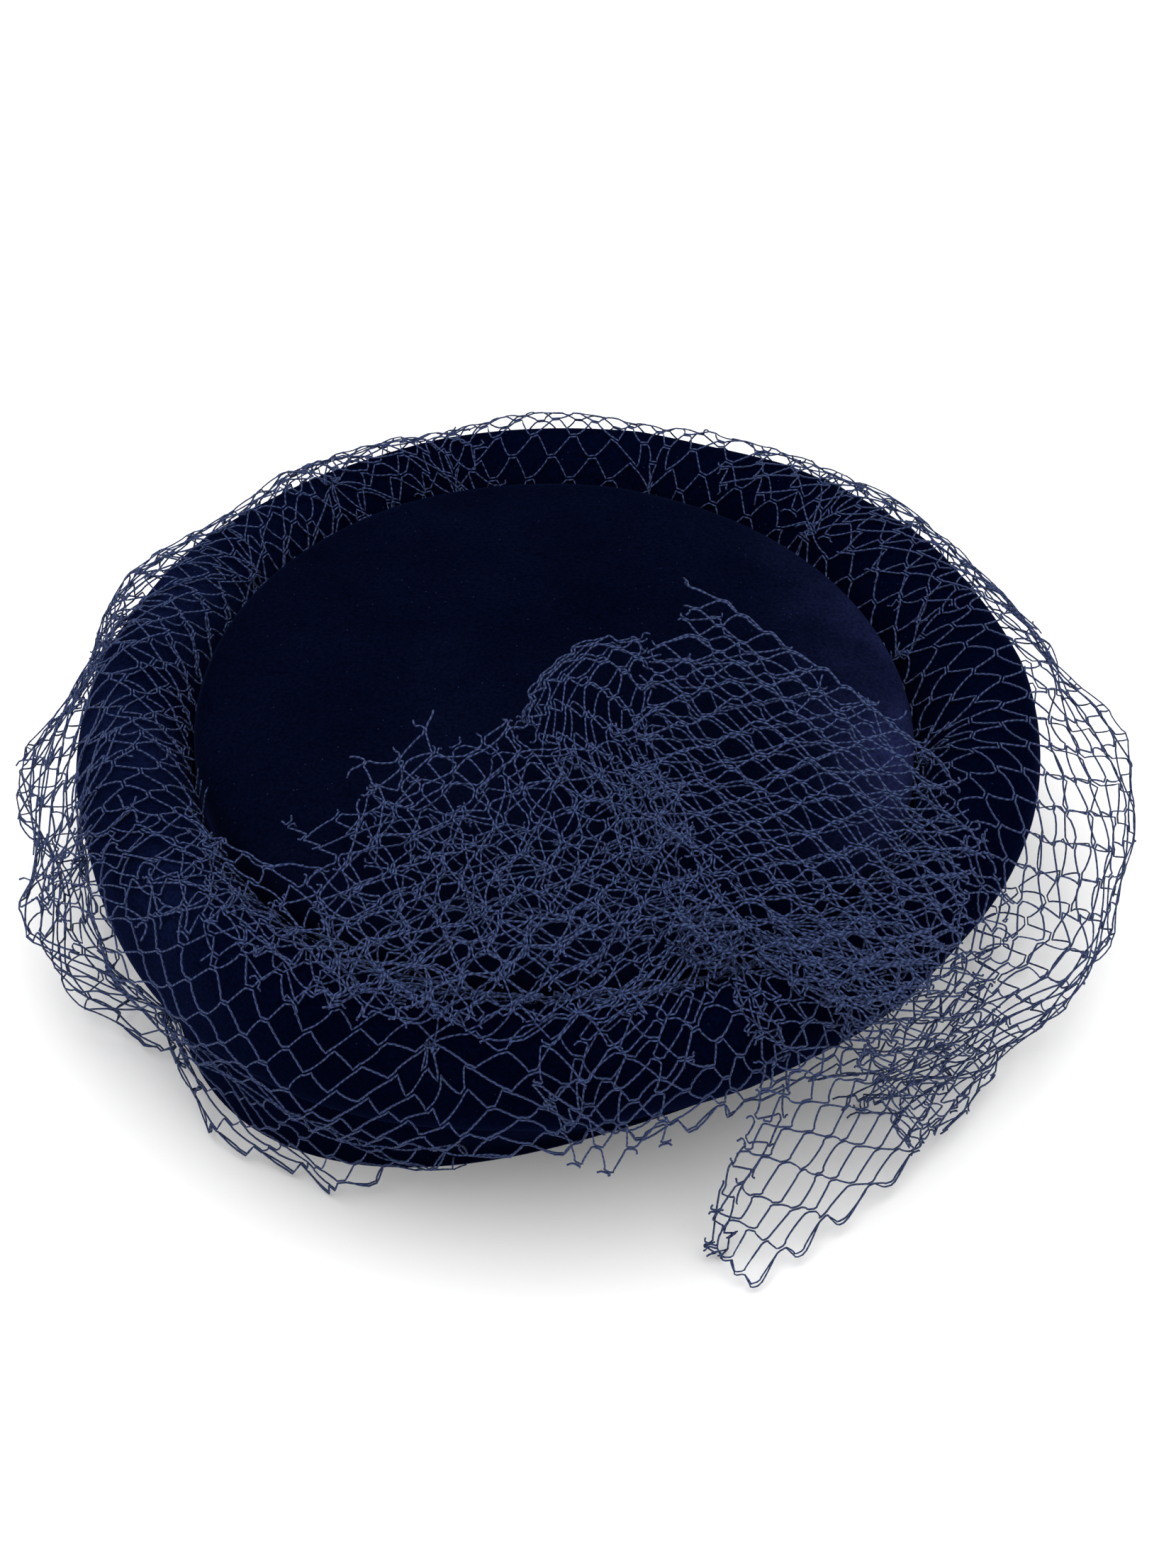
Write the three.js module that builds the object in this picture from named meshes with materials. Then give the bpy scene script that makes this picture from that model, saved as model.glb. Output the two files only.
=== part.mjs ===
// A lady's velvet hat: a flat oval crown inside a wide rolled brim, with a net veil over the brim
// and a net bow at the right of the front. Millimetres, +Z up, the front towards -Y.
import * as THREE from 'three';
import { mergeVertices } from 'three/addons/utils/BufferGeometryUtils.js';

const degrees = Math.PI / 180;

// Heights and walls
const brimHeight = 78;
const crownDome = 6;
const crownHeight = brimHeight + crownDome;
const velvetWall = 2.5;
const netWall = 1.2;
const seam = 0.4;

// Plan ovals: half lengths, how far the long axis is turned, and how square the oval is
const rimOval = { long: 121, short: 117, turn: 20 * degrees, x: 0, y: 0, square: 2 };
const baseOval = { long: 92, short: 71, turn: 20 * degrees, x: -11.5, y: -13, square: 2.5 };
const crownOval = { long: 94, short: 89, turn: 110 * degrees, x: -1.7, y: -2.9, square: 2 };

// Folded crease round the front left of the brim
const creaseDepth = 4;
const creaseFrom = 170 * degrees;
const creaseTo = 300 * degrees;

// Veil: its clearance from the brim, how far its fullest puff stands off the wall, and how many
// meshes it has round the hat and from the groove to the free edge
const veilClearance = 0.7;
const veilPuff = 56;
const veilColumns = 20;
const veilRows = 5;

// Bow: where its knot sits on the brim, its size, and how far wings and tails reach
const knotAngle = 290.5 * degrees;
const knotHalf = { x: 9, y: 7, z: 7 };
const wingLength = 97;
const wingRise = 20;
const wingFold = 2.5;
const loopDepth = 4;
const tailStandOff = 4;
const tailSpread = 15 * degrees;
const tailGather = 2.2 * degrees;
const tailAside = 1.1;
const tailTurn = 1.5;

// Share of the mesh width that a bar of net takes, at each side of a gap
const barShare = 0.28;

// Facets
const hatFacets = 48;
const knotFacets = { around: 12, up: 8 };

const brimBlue = '#10132f';
const crownBlue = '#0d1029';
const netBlue = '#26335c';
const velvetRoughness = 0.95;
const netRoughness = 0.7;

// Brim section, from its foot up the outside, over the roll and down into the groove.
// level is a share of brimHeight, reach goes from the base oval to the rim oval, inward from
// the rim oval to the crown, and crease is a share of creaseDepth.
const brimRows = [
  { level: 0, reach: 0, inward: 0, crease: 0 },
  { level: 0.1, reach: 0.07, inward: 0, crease: 0 },
  { level: 0.26, reach: 0.3, inward: 0, crease: 0.3 },
  { level: 0.42, reach: 0.56, inward: 0, crease: 1 },
  { level: 0.5, reach: 0.74, inward: 0, crease: -0.3 },
  { level: 0.62, reach: 0.89, inward: 0, crease: -0.5 },
  { level: 0.78, reach: 1, inward: 0, crease: 0 },
  { level: 0.9, reach: 1, inward: 0.06, crease: 0 },
  { level: 0.975, reach: 1, inward: 0.24, crease: 0 },
  { level: 1, reach: 1, inward: 0.44, crease: 0 },
  { level: 0.97, reach: 1, inward: 0.66, crease: 0 },
  { level: 0.89, reach: 1, inward: 0.86, crease: 0 },
  { level: 0.77, reach: 1, inward: 0.98, crease: 0 },
];
const widestRow = 6;
const shoulderRow = 8;
const veilSeatRow = 9.8;
const grooveRow = 11;

// A straight bar of net spans an angle of the roll, and the veil stands off by the bar's sag
const barSpan = 30 * degrees;
const rollRadius = (1 - brimRows[widestRow].level) * brimHeight;
const veilStandOff = veilClearance + rollRadius * (1 - Math.cos(barSpan / 2));

// Crown section: the tip from near its middle to its rounded edge, as shares of the crown oval
// and of crownHeight
const tipRows = [
  { out: 0.4, level: 0.985 },
  { out: 0.7, level: 0.96 },
  { out: 0.88, level: 0.925 },
  { out: 0.96, level: 0.89 },
  { out: 0.992, level: 0.845 },
];
// Crown side band, down to the foot: flare goes from the foot to the crown oval
const bandRows = [
  { flare: 1, level: 0.79 },
  { flare: 1, level: 0.71 },
  { flare: 0.8, level: 0.54 },
  { flare: 0.42, level: 0.32 },
  { flare: 0.1, level: 0.14 },
  { flare: 0, level: 0 },
];

// Veil round the hat: crest, belly and foot are shares of veilPuff off the brim, at its widest,
// half way down and at the free edge, and edge is how high that edge hangs, as a share of
// brimHeight
const veilTable = [
  { angle: 0, crest: 0.16, belly: 0.36, foot: 0.74, edge: 0.08 },
  { angle: 30, crest: 0.16, belly: 0.14, foot: 0.34, edge: 0.25 },
  { angle: 60, crest: 0.06, belly: 0.06, foot: 0.1, edge: 0.36 },
  { angle: 90, crest: 0.12, belly: 0.06, foot: 0.12, edge: 0.38 },
  { angle: 120, crest: 0.07, belly: 0.06, foot: 0.1, edge: 0.36 },
  { angle: 150, crest: 0.1, belly: 0.1, foot: 0.12, edge: 0.3 },
  { angle: 180, crest: 0.08, belly: 0.2, foot: 0.16, edge: 0.24 },
  { angle: 200, crest: 0.06, belly: 0.22, foot: 0.06, edge: 0.2 },
  { angle: 220, crest: 0.02, belly: 0.07, foot: 0.05, edge: 0.05 },
  { angle: 245, crest: 0.02, belly: 0.06, foot: 0.12, edge: 0.03 },
  { angle: 275, crest: 0.02, belly: 0.06, foot: 0.09, edge: 0.03 },
  { angle: 300, crest: 0.02, belly: 0.06, foot: 0.14, edge: 0.03 },
  { angle: 322, crest: 0.04, belly: 0.16, foot: 0.5, edge: 0.03 },
  { angle: 342, crest: 0.12, belly: 0.36, foot: 0.74, edge: 0.04 },
  { angle: 360, crest: 0.16, belly: 0.36, foot: 0.74, edge: 0.08 },
];

// Wings and the loop between them, as rays from the knot: heading in degrees, and length and
// rise as shares of wingLength and wingRise
const leftWing = { columns: 4, rows: 4 };
leftWing.rays = [
  { heading: 192, length: 0.86, rise: -0.15 },
  { heading: 176, length: 0.95, rise: -0.05 },
  { heading: 163, length: 1, rise: 0.15 },
  { heading: 150, length: 0.99, rise: 0.35 },
  { heading: 138, length: 0.87, rise: 0.6 },
  { heading: 126, length: 0.7, rise: 0.75 },
];
const backLoop = { columns: 2, rows: 5 };
backLoop.rays = [
  { heading: 121, length: 0.74, rise: 0.6 },
  { heading: 109, length: 0.88, rise: 0.7 },
  { heading: 98, length: 0.86, rise: 0.75 },
];
const rightWing = { columns: 4, rows: 4 };
rightWing.rays = [
  { heading: 91, length: 0.98, rise: 1 },
  { heading: 78, length: 0.84, rise: 0.95 },
  { heading: 60, length: 0.68, rise: 0.75 },
  { heading: 42, length: 0.72, rise: 0.4 },
  { heading: 20, length: 0.68, rise: 0 },
  { heading: -4, length: 0.62, rise: -0.25 },
];

// Tails from the knot over the roll to the floor: side says on which side of the knot's middle
// the tail starts, middle is the heading of its cut end from the hat's centre in degrees, width
// a share of tailSpread, foot a share of veilPuff off the veil, slant how much further the cut
// end stands off at its left than at its right, and edge its height as a share of brimHeight
const leftTail = { columns: 2, rows: 5, side: -1, middle: 279, width: 0.5 };
Object.assign(leftTail, { foot: 0.05, slant: 0, edge: 0.08 });
const rightTail = { columns: 3, rows: 5, side: 1, middle: 300, width: 0.8 };
Object.assign(rightTail, { foot: 0.6, slant: 0.2, edge: 0.03 });

// A value between two others
const mix = (a, b, share) => a + (b - a) * share;

// Row of a table at a fractional index, each column interpolated
function rowAt(rows, index) {
  const low = Math.min(Math.floor(index), rows.length - 2);
  const row = {};
  for (const name of Object.keys(rows[low])) {
    row[name] = mix(rows[low][name], rows[low + 1][name], index - low);
  }
  return row;
}

// Point of a plan oval in a direction from its centre
function ovalPoint(oval, angle, inset = 0) {
  const a = angle - oval.turn;
  const along = Math.abs(Math.cos(a) / oval.long) ** oval.square;
  const across = Math.abs(Math.sin(a) / oval.short) ** oval.square;
  const radius = (along + across) ** (-1 / oval.square) - inset;
  return new THREE.Vector2(
    oval.x + radius * Math.cos(angle),
    oval.y + radius * Math.sin(angle),
  );
}

// Smooth share from 0 to 1 and back to 0 across the creased part of the brim
function creaseAt(angle) {
  const turn = ((angle % (2 * Math.PI)) + 2 * Math.PI) % (2 * Math.PI);
  const share = (turn - creaseFrom) / (creaseTo - creaseFrom);
  return share > 0 && share < 1 ? Math.sin(Math.PI * share) ** 2 : 0;
}

// Point of the brim's outer skin at a fractional row of its section
function brimPoint(angle, index) {
  const row = rowAt(brimRows, index);
  const rim = ovalPoint(rimOval, angle);
  const plan = ovalPoint(baseOval, angle)
    .lerp(rim, row.reach)
    .lerp(ovalPoint(crownOval, angle, -seam), row.inward);
  const pinch = row.crease * creaseDepth * creaseAt(angle);
  plan.x -= pinch * Math.cos(angle);
  plan.y -= pinch * Math.sin(angle);
  return new THREE.Vector3(plan.x, plan.y, row.level * brimHeight);
}

// Points of a section moved by a distance square to it, in the upright plane at an angle.
// The run of the section turns left, so a positive distance goes outwards.
function offsetSection(points, angle, distance) {
  const out = new THREE.Vector3(Math.cos(angle), Math.sin(angle), 0);
  return points.map((point, i) => {
    const before = points[Math.max(i - 1, 0)];
    const after = points[Math.min(i + 1, points.length - 1)];
    const run = after.clone().sub(before);
    const side = new THREE.Vector2(run.z, -run.dot(out)).normalize();
    return point.clone().addScaledVector(out, side.x * distance).setZ(point.z + side.y * distance);
  });
}

// Closed geometry from vertices and triangles, with its faces turned outwards
function closedGeometry(vertices, triangles) {
  let volume = 0;
  for (const [a, b, c] of triangles) {
    volume += vertices[a].dot(vertices[b].clone().cross(vertices[c]));
  }
  const index = volume > 0 ? triangles.flat() : triangles.flatMap(([a, b, c]) => [a, c, b]);
  const geometry = new THREE.BufferGeometry();
  geometry.setAttribute(
    'position',
    new THREE.Float32BufferAttribute(vertices.flatMap((v) => v.toArray()), 3),
  );
  geometry.setIndex(index);
  geometry.computeVertexNormals();
  return geometry;
}

// Ring made of closed loops of points, one loop for each facet round it
function ringGeometry(loops) {
  const size = loops[0].length;
  const triangles = [];
  loops.forEach((_, i) => {
    for (let j = 0; j < size; j += 1) {
      const a = i * size + j;
      const b = i * size + ((j + 1) % size);
      const c = ((i + 1) % loops.length) * size + ((j + 1) % size);
      const d = ((i + 1) % loops.length) * size + j;
      triangles.push([a, b, c], [a, c, d]);
    }
  });
  return closedGeometry(loops.flat(), triangles);
}

// Cup made of open chains of points, one for each facet, closed at both ends by a middle point
function cupGeometry(chains, firstMiddle, lastMiddle) {
  const size = chains[0].length;
  const vertices = [...chains.flat(), firstMiddle, lastMiddle];
  const triangles = [];
  chains.forEach((_, i) => {
    const here = i * size;
    const next = ((i + 1) % chains.length) * size;
    for (let j = 0; j < size - 1; j += 1) {
      triangles.push([here + j, here + j + 1, next + j + 1], [here + j, next + j + 1, next + j]);
    }
    triangles.push([vertices.length - 2, here, next]);
    triangles.push([vertices.length - 1, next + size - 1, here + size - 1]);
  });
  return closedGeometry(vertices, triangles);
}

// Evenly spaced angles round the hat
function anglesRound(count) {
  return Array.from({ length: count }, (_, i) => (i / count) * 2 * Math.PI);
}

// Rolled brim: a wall of velvet whose section hooks over into the groove round the crown
function brimGeometry() {
  const loops = anglesRound(hatFacets).map((angle) => {
    const outer = brimRows.map((_, i) => brimPoint(angle, i));
    const inner = offsetSection(outer, angle, -velvetWall);
    inner[0] = outer[0].clone();
    inner[0].x -= velvetWall * Math.cos(angle);
    inner[0].y -= velvetWall * Math.sin(angle);
    return [...outer, ...inner.reverse()];
  });
  return ringGeometry(loops);
}

// Crown section on its outer side at an angle, from near the middle down to the foot
function crownSection(angle) {
  const edge = ovalPoint(crownOval, angle);
  const foot = ovalPoint(baseOval, angle, velvetWall + seam);
  const middle = new THREE.Vector2(crownOval.x, crownOval.y);
  const tip = tipRows.map((row) => {
    const plan = middle.clone().lerp(edge, row.out);
    return new THREE.Vector3(plan.x, plan.y, row.level * crownHeight);
  });
  const band = bandRows.map((row) => {
    const plan = foot.clone().lerp(edge, row.flare);
    return new THREE.Vector3(plan.x, plan.y, row.level * crownHeight);
  });
  return [...tip, ...band];
}

// Crown: a shell open at the bottom, where the head goes in
function crownGeometry() {
  const chains = anglesRound(hatFacets).map((angle) => {
    const outer = crownSection(angle);
    const inner = offsetSection(outer, angle, velvetWall);
    const foot = outer[outer.length - 1].clone();
    foot.x -= velvetWall * Math.cos(angle);
    foot.y -= velvetWall * Math.sin(angle);
    inner[inner.length - 1] = foot;
    return [...outer, ...inner.reverse()];
  });
  const top = new THREE.Vector3(crownOval.x, crownOval.y, crownHeight);
  return cupGeometry(chains, top, top.clone().setZ(crownHeight - velvetWall));
}

// Net of diamond meshes cut through a surface. point(u, v) is the surface, u from 0 to columns
// and v from 0 to rows. A closed net joins its first column to its last.
function netGeometry({ columns, rows, closed, point }) {
  const vertices = [];
  const known = new Map();
  const triangles = [];
  const edges = new Map();
  const step = 0.01;

  const normalAt = (u, v) => {
    const alongU = point(u + step, v).sub(point(u - step, v));
    const alongV = point(u, v + step).sub(point(u, v - step));
    return alongU.cross(alongV).normalize();
  };
  const vertexPair = (u, v) => {
    const around = Math.round(columns / step);
    const steps = Math.round(u / step);
    const key = [closed ? steps % around : steps, Math.round(v / step)].join();
    if (!known.has(key)) {
      const half = normalAt(u, v).multiplyScalar(netWall / 2);
      const middle = point(u, v);
      known.set(key, vertices.length);
      vertices.push(middle.clone().add(half), middle.clone().sub(half));
    }
    return known.get(key);
  };
  const quad = (a, b, c, d) => triangles.push([a, b, c], [a, c, d]);

  for (let row = 1; row < rows; row += 1) {
    const shift = row % 2 ? 0 : 0.5;
    const count = closed ? columns : columns - 2 * shift;
    for (let column = 0; column < count; column += 1) {
      const middle = { u: column + shift + 0.5, v: row };
      const corners = [
        [-0.5, 0], [-0.25, 0.5], [0, 1], [0.25, 0.5],
        [0.5, 0], [0.25, -0.5], [0, -1], [-0.25, -0.5],
      ];
      const hole = 1 - barShare;
      const outer = corners.map(([u, v]) => vertexPair(middle.u + u, middle.v + v));
      const inner = corners.map(([u, v]) => vertexPair(middle.u + u * hole, middle.v + v * hole));
      outer.forEach((a, k) => {
        const next = (k + 1) % outer.length;
        const b = outer[next];
        quad(a, b, inner[next], inner[k]);
        quad(b + 1, a + 1, inner[k] + 1, inner[next] + 1);
        quad(inner[k], inner[next], inner[next] + 1, inner[k] + 1);
        const key = [Math.min(a, b), Math.max(a, b)].join();
        edges.set(key, edges.has(key) ? null : [a, b]);
      });
    }
  }
  for (const edge of edges.values()) {
    if (edge) quad(edge[1], edge[0], edge[0] + 1, edge[1] + 1);
  }
  return closedGeometry(vertices, triangles);
}

// Veil table at an angle
function veilAt(angle) {
  const turn = ((angle / degrees) % 360 + 360) % 360;
  const next = veilTable.findIndex((row) => row.angle > turn);
  const low = veilTable[next - 1];
  const high = veilTable[next];
  const share = (1 - Math.cos(Math.PI * (turn - low.angle) / (high.angle - low.angle))) / 2;
  return {
    crest: mix(low.crest, high.crest, share) * veilPuff,
    belly: mix(low.belly, high.belly, share) * veilPuff,
    foot: mix(low.foot, high.foot, share) * veilPuff,
    edge: mix(low.edge, high.edge, share),
  };
}

// Point off the brim's outer skin, square to its section
function offBrim(angle, index, distance) {
  const near = 0.2;
  const points = [index - near, index, index + near].map((i) => brimPoint(angle, i));
  return offsetSection(points, angle, distance)[1];
}

// Fractional row of the brim's outside wall at a level
function wallRow(level) {
  const next = Math.max(1, brimRows.findIndex((row) => row.level > level));
  const low = brimRows[next - 1];
  return next - 1 + (level - low.level) / (brimRows[next].level - low.level);
}

// Net layer that lies over the roll and then hangs outside: down runs from 0 at the widest part
// of the brim to 1 at the free edge
function hangingPoint(angle, down, standOff, belly, foot, edge) {
  const widest = brimRows[widestRow].level;
  const wall = brimPoint(angle, wallRow(mix(widest, edge, down)));
  const puff = belly * Math.sin(Math.PI * Math.min(down, 1)) + foot * down ** 2;
  const reach = standOff + puff;
  return wall.add(new THREE.Vector3(Math.cos(angle) * reach, Math.sin(angle) * reach, 0));
}

// Veil: from the groove over the roll, then puffed out and hanging
function veilGeometry() {
  const overRoll = [grooveRow, veilSeatRow, shoulderRow, widestRow];
  const rows = veilRows;
  const last = overRoll.length - 1;
  const off = veilStandOff + netWall / 2;
  const point = (u, v) => {
    const angle = knotAngle + (u / veilColumns) * 2 * Math.PI;
    const { crest, belly, foot, edge } = veilAt(angle);
    if (v <= last) {
      const low = Math.max(0, Math.min(Math.floor(v), last - 1));
      const lift = crest * Math.max(0, v / last) ** 2;
      return offBrim(angle, mix(overRoll[low], overRoll[low + 1], v - low), off + lift);
    }
    const down = (v - last) / (rows - last);
    return hangingPoint(angle, down, off + crest, belly, foot, edge);
  };
  return netGeometry({ columns: veilColumns, rows, closed: true, point });
}

// Middle of the knot, seated on a crossing of the veil
function knotMiddle() {
  return offBrim(knotAngle, veilSeatRow, veilStandOff + netWall + seam + knotHalf.z);
}

// Knot of the bow, a gathered lump of net
function knotGeometry() {
  const ball = new THREE.SphereGeometry(1, knotFacets.around, knotFacets.up);
  const geometry = mergeVertices(ball.deleteAttribute('uv').deleteAttribute('normal'));
  geometry.rotateX(Math.PI / 2);
  geometry.scale(knotHalf.x, knotHalf.y, knotHalf.z);
  const middle = knotMiddle();
  return geometry.translate(middle.x, middle.y, middle.z);
}

// Distance from the knot's middle to its side in a heading, with the seam round it
function knotEdge(heading) {
  return 1 / Math.hypot(Math.cos(heading) / knotHalf.x, Math.sin(heading) / knotHalf.y) + seam;
}

// Ray of a wing at a share of its width, its heading in radians and its sizes in millimetres
function rayAt(rays, share) {
  const ray = rowAt(rays, Math.min(Math.max(share, 0), 1) * (rays.length - 1));
  return {
    heading: ray.heading * degrees,
    length: ray.length * wingLength,
    rise: ray.rise * wingRise,
  };
}

// Point at a distance from the knot along a heading, raised from the knot's middle
function fromKnot(heading, along, height) {
  const spot = new THREE.Vector3(Math.cos(heading), Math.sin(heading), 0);
  return spot.multiplyScalar(along).add(knotMiddle()).add(new THREE.Vector3(0, 0, height));
}

// Wing of the bow: a fan of net along rays from the knot, with a fold for each column
function wingGeometry({ rays, columns, rows }) {
  const point = (u, v) => {
    const { heading, length, rise } = rayAt(rays, u / columns);
    const along = mix(knotEdge(heading), length, v / rows);
    const share = along / length;
    return fromKnot(heading, along, (rise + wingFold * Math.sin(u * Math.PI)) * share);
  };
  return netGeometry({ columns, rows, closed: false, point });
}

// Loop between the wings: a strip of net that goes out from the knot and comes back under itself
function loopGeometry({ rays, columns, rows }) {
  const point = (u, v) => {
    const { heading, length, rise } = rayAt(rays, u / columns);
    const turn = Math.PI * (v / rows);
    const along = mix(knotEdge(heading), length, Math.sin(turn));
    return fromKnot(heading, along, rise * Math.sin(turn) + (loopDepth / 2) * Math.cos(turn));
  };
  return netGeometry({ columns, rows, closed: false, point });
}

// Start of a tail at the knot: across runs from -1 to 1 over its gathered width
function tailStart(tail, across) {
  const start = fromKnot(knotAngle, knotEdge(knotAngle), 0);
  const aside = (tail.side * tailAside + across) * tailGather * Math.hypot(start.x, start.y);
  const sideways = new THREE.Vector3(-Math.sin(knotAngle), Math.cos(knotAngle), 0);
  return start.addScaledVector(sideways, aside);
}

// Tail of the bow: gathered beside the knot's middle, over the roll outside the veil and down
// to its cut end
function tailGeometry(tail) {
  const { columns, rows } = tail;
  const off = veilStandOff + netWall + tailStandOff + netWall / 2;
  const shoulder = 1;
  const widest = 2;
  const startAngle = knotAngle + tail.side * tailAside * tailGather;
  const point = (u, v) => {
    const across = 2 * (u / columns) - 1;
    const share = Math.max(v / rows, 0);
    const middle = mix(startAngle, tail.middle * degrees, Math.min(tailTurn * share, 1));
    const angle = middle + across * mix(tailGather, tail.width * tailSpread, share);
    const { crest, belly, foot } = veilAt(angle);
    if (v < shoulder) {
      return tailStart(tail, across).lerp(offBrim(angle, shoulderRow, off + crest), v);
    }
    if (v < widest) {
      return offBrim(angle, mix(shoulderRow, widestRow, v - shoulder), off + crest);
    }
    const down = (v - widest) / (rows - widest);
    const reach = foot + tail.foot * veilPuff * (1 - tail.slant * across);
    return hangingPoint(angle, down, off + crest, belly, reach, tail.edge);
  };
  return netGeometry({ columns, rows, closed: false, point });
}

// Named mesh of one piece
function piece(name, geometry, colour, roughness) {
  const material = new THREE.MeshStandardMaterial({ color: colour, roughness, metalness: 0 });
  const mesh = new THREE.Mesh(geometry, material);
  mesh.name = name;
  return mesh;
}

const hat = new THREE.Group();
hat.add(
  piece('crown', crownGeometry(), crownBlue, velvetRoughness),
  piece('brim', brimGeometry(), brimBlue, velvetRoughness),
  piece('veil', veilGeometry(), netBlue, netRoughness),
  piece('bow_knot', knotGeometry(), netBlue, netRoughness),
  piece('bow_left_wing', wingGeometry(leftWing), netBlue, netRoughness),
  piece('bow_back_loop', loopGeometry(backLoop), netBlue, netRoughness),
  piece('bow_right_wing', wingGeometry(rightWing), netBlue, netRoughness),
  piece('bow_left_tail', tailGeometry(leftTail), netBlue, netRoughness),
  piece('bow_right_tail', tailGeometry(rightTail), netBlue, netRoughness),
);

// The hat stands with the middle of its box over the origin
const box = new THREE.Box3().setFromObject(hat);
hat.position.set(-(box.min.x + box.max.x) / 2, -(box.min.y + box.max.y) / 2, -box.min.z);
hat.updateMatrixWorld(true);

export default hat;
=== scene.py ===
import bpy
import numpy as np
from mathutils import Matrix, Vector


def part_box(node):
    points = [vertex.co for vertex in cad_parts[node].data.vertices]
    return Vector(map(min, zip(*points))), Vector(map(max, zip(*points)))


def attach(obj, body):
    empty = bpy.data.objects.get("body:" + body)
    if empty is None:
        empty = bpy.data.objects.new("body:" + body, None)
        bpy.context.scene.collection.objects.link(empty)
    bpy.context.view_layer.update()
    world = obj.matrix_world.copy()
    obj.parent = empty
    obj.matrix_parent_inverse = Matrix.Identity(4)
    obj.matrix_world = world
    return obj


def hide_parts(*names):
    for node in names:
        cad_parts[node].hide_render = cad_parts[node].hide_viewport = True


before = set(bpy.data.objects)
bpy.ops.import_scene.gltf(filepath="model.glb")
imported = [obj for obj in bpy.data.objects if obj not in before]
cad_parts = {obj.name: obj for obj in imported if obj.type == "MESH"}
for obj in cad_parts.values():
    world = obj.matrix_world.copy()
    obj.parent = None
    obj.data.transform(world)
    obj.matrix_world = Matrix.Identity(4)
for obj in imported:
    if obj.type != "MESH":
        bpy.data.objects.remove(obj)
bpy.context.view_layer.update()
mm = 0.001
tau = 2 * np.pi

# the plan ovals are drawn round the middle of the brim
brimLow, brimHigh = (np.array(corner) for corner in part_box("brim"))
hatMiddle = np.append((brimLow + brimHigh)[:2] / 2, 0.0)
brimHeight = brimHigh[2] / mm
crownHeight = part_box("crown")[1][2] / mm

# What the brim, the crown and the net share, in millimetres and degrees. An oval has half
# axes, a turn, a middle, and a square of 2 for an ellipse and more for a squarer form.
hat = {
    "wall": 2.5,
    "seam": 0.4,
    "rimOval": {"long": 121, "short": 117, "turn": 20, "x": 0, "y": 0, "square": 2},
    "hemOval": {"long": 92, "short": 71, "turn": 20, "x": -11.5, "y": -13, "square": 2.5},
    "crownOval": {"long": 94, "short": 89, "turn": 110, "x": -1.7, "y": -2.9, "square": 2},
    "creaseDepth": 4,
    "creaseFrom": 170,
    "creaseTo": 300,
}


# rows of a table as dictionaries, from its columns' names and a line of values for each row
def rowsOf(columns, *lines):
    return [dict(zip(columns.split(), line)) for line in lines]


# one column of such a table
def valuesOf(rows, name):
    return np.array([row[name] for row in rows], float)


# sRGB hex to linear red, green and blue, with alpha
def linear(hexColour):
    channel = np.array([int(hexColour[i : i + 2], 16) for i in (1, 3, 5)]) / 255
    low, high = channel / 12.92, ((channel + 0.055) / 1.055) ** 2.4
    return (*np.where(channel <= 0.04045, low, high), 1.0)


# smooth curve through the rows of a table at fractional rows: a cubic through each four
# neighbours whose slope at a row is half the step between the rows beside it
def smoothRows(values, at):
    values = np.asarray(values, float)
    at = np.clip(at, 0, len(values) - 1)
    low = np.minimum(at.astype(int), len(values) - 2)
    t = at - low
    padded = np.concatenate([[2 * values[0] - values[1]], values, [2 * values[-1] - values[-2]]])
    a, b, c, d = (padded[low + k] for k in range(4))
    slopeB, slopeC = (c - a) / 2, (d - b) / 2
    return (
        b * (2 * t**3 - 3 * t**2 + 1)
        + slopeB * (t**3 - 2 * t**2 + t)
        + c * (3 * t**2 - 2 * t**3)
        + slopeC * (t**3 - t**2)
    )


# shares that smoothRows takes of each of so many rows at fractional rows
def rowShares(at, count):
    return np.stack([smoothRows(row, at) for row in np.eye(count)], axis=-1)


# point on a smooth surface through a table of points, at fractional rows and columns
def onTable(table, row, column):
    rows, columns = table.shape[:2]
    alongShares = rowShares(row, rows)
    acrossShares = rowShares(column, columns)
    return np.einsum("...i,...j,ijk->...k", alongShares, acrossShares, table)


# smooth value round the hat from a table with a row for some angles, the last at 360 as the first
def roundHat(table, name, angle):
    at, value = valuesOf(table, "angle"), valuesOf(table, name)
    turn = np.degrees(angle) % 360
    low = np.clip(np.searchsorted(at, turn, side="right") - 1, 0, len(at) - 2)
    share = (1 - np.cos(np.pi * (turn - at[low]) / (at[low + 1] - at[low]))) / 2
    return value[low] + (value[low + 1] - value[low]) * share


# soft unevenness: a sum of waves with random directions, about size millimetres long
def unevenness(points, size, seed, waves=9):
    random = np.random.default_rng(seed)
    direction = random.normal(size=(waves, 3))
    direction /= np.linalg.norm(direction, axis=1)[:, None]
    length = size * random.uniform(0.7, 1.6, waves)
    phase = points @ (direction * (tau / length)[:, None]).T + random.uniform(0, tau, waves)
    return np.sin(phase).sum(axis=-1) / np.sqrt(waves)


# soft unevenness in all three directions
def jostled(points, size, seed):
    return np.stack([unevenness(points, size, seed + k) for k in range(3)], axis=-1)


# vectors divided by their own lengths
def unit(vectors):
    return vectors / np.maximum(np.linalg.norm(vectors, axis=-1, keepdims=True), 1e-9)


# level vectors of length 1 that point outwards at an angle round the hat
def outwards(angle):
    return np.stack([np.cos(angle), np.sin(angle), np.zeros_like(angle)], axis=-1)


# radius of a plan oval in a direction from its centre: the root of the two shares' powers
def ovalRadius(oval, angle):
    a = angle - np.radians(oval["turn"])
    shares = np.abs(np.cos(a) / oval["long"]) ** oval["square"]
    shares = shares + np.abs(np.sin(a) / oval["short"]) ** oval["square"]
    return shares ** (-1 / oval["square"])


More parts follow.
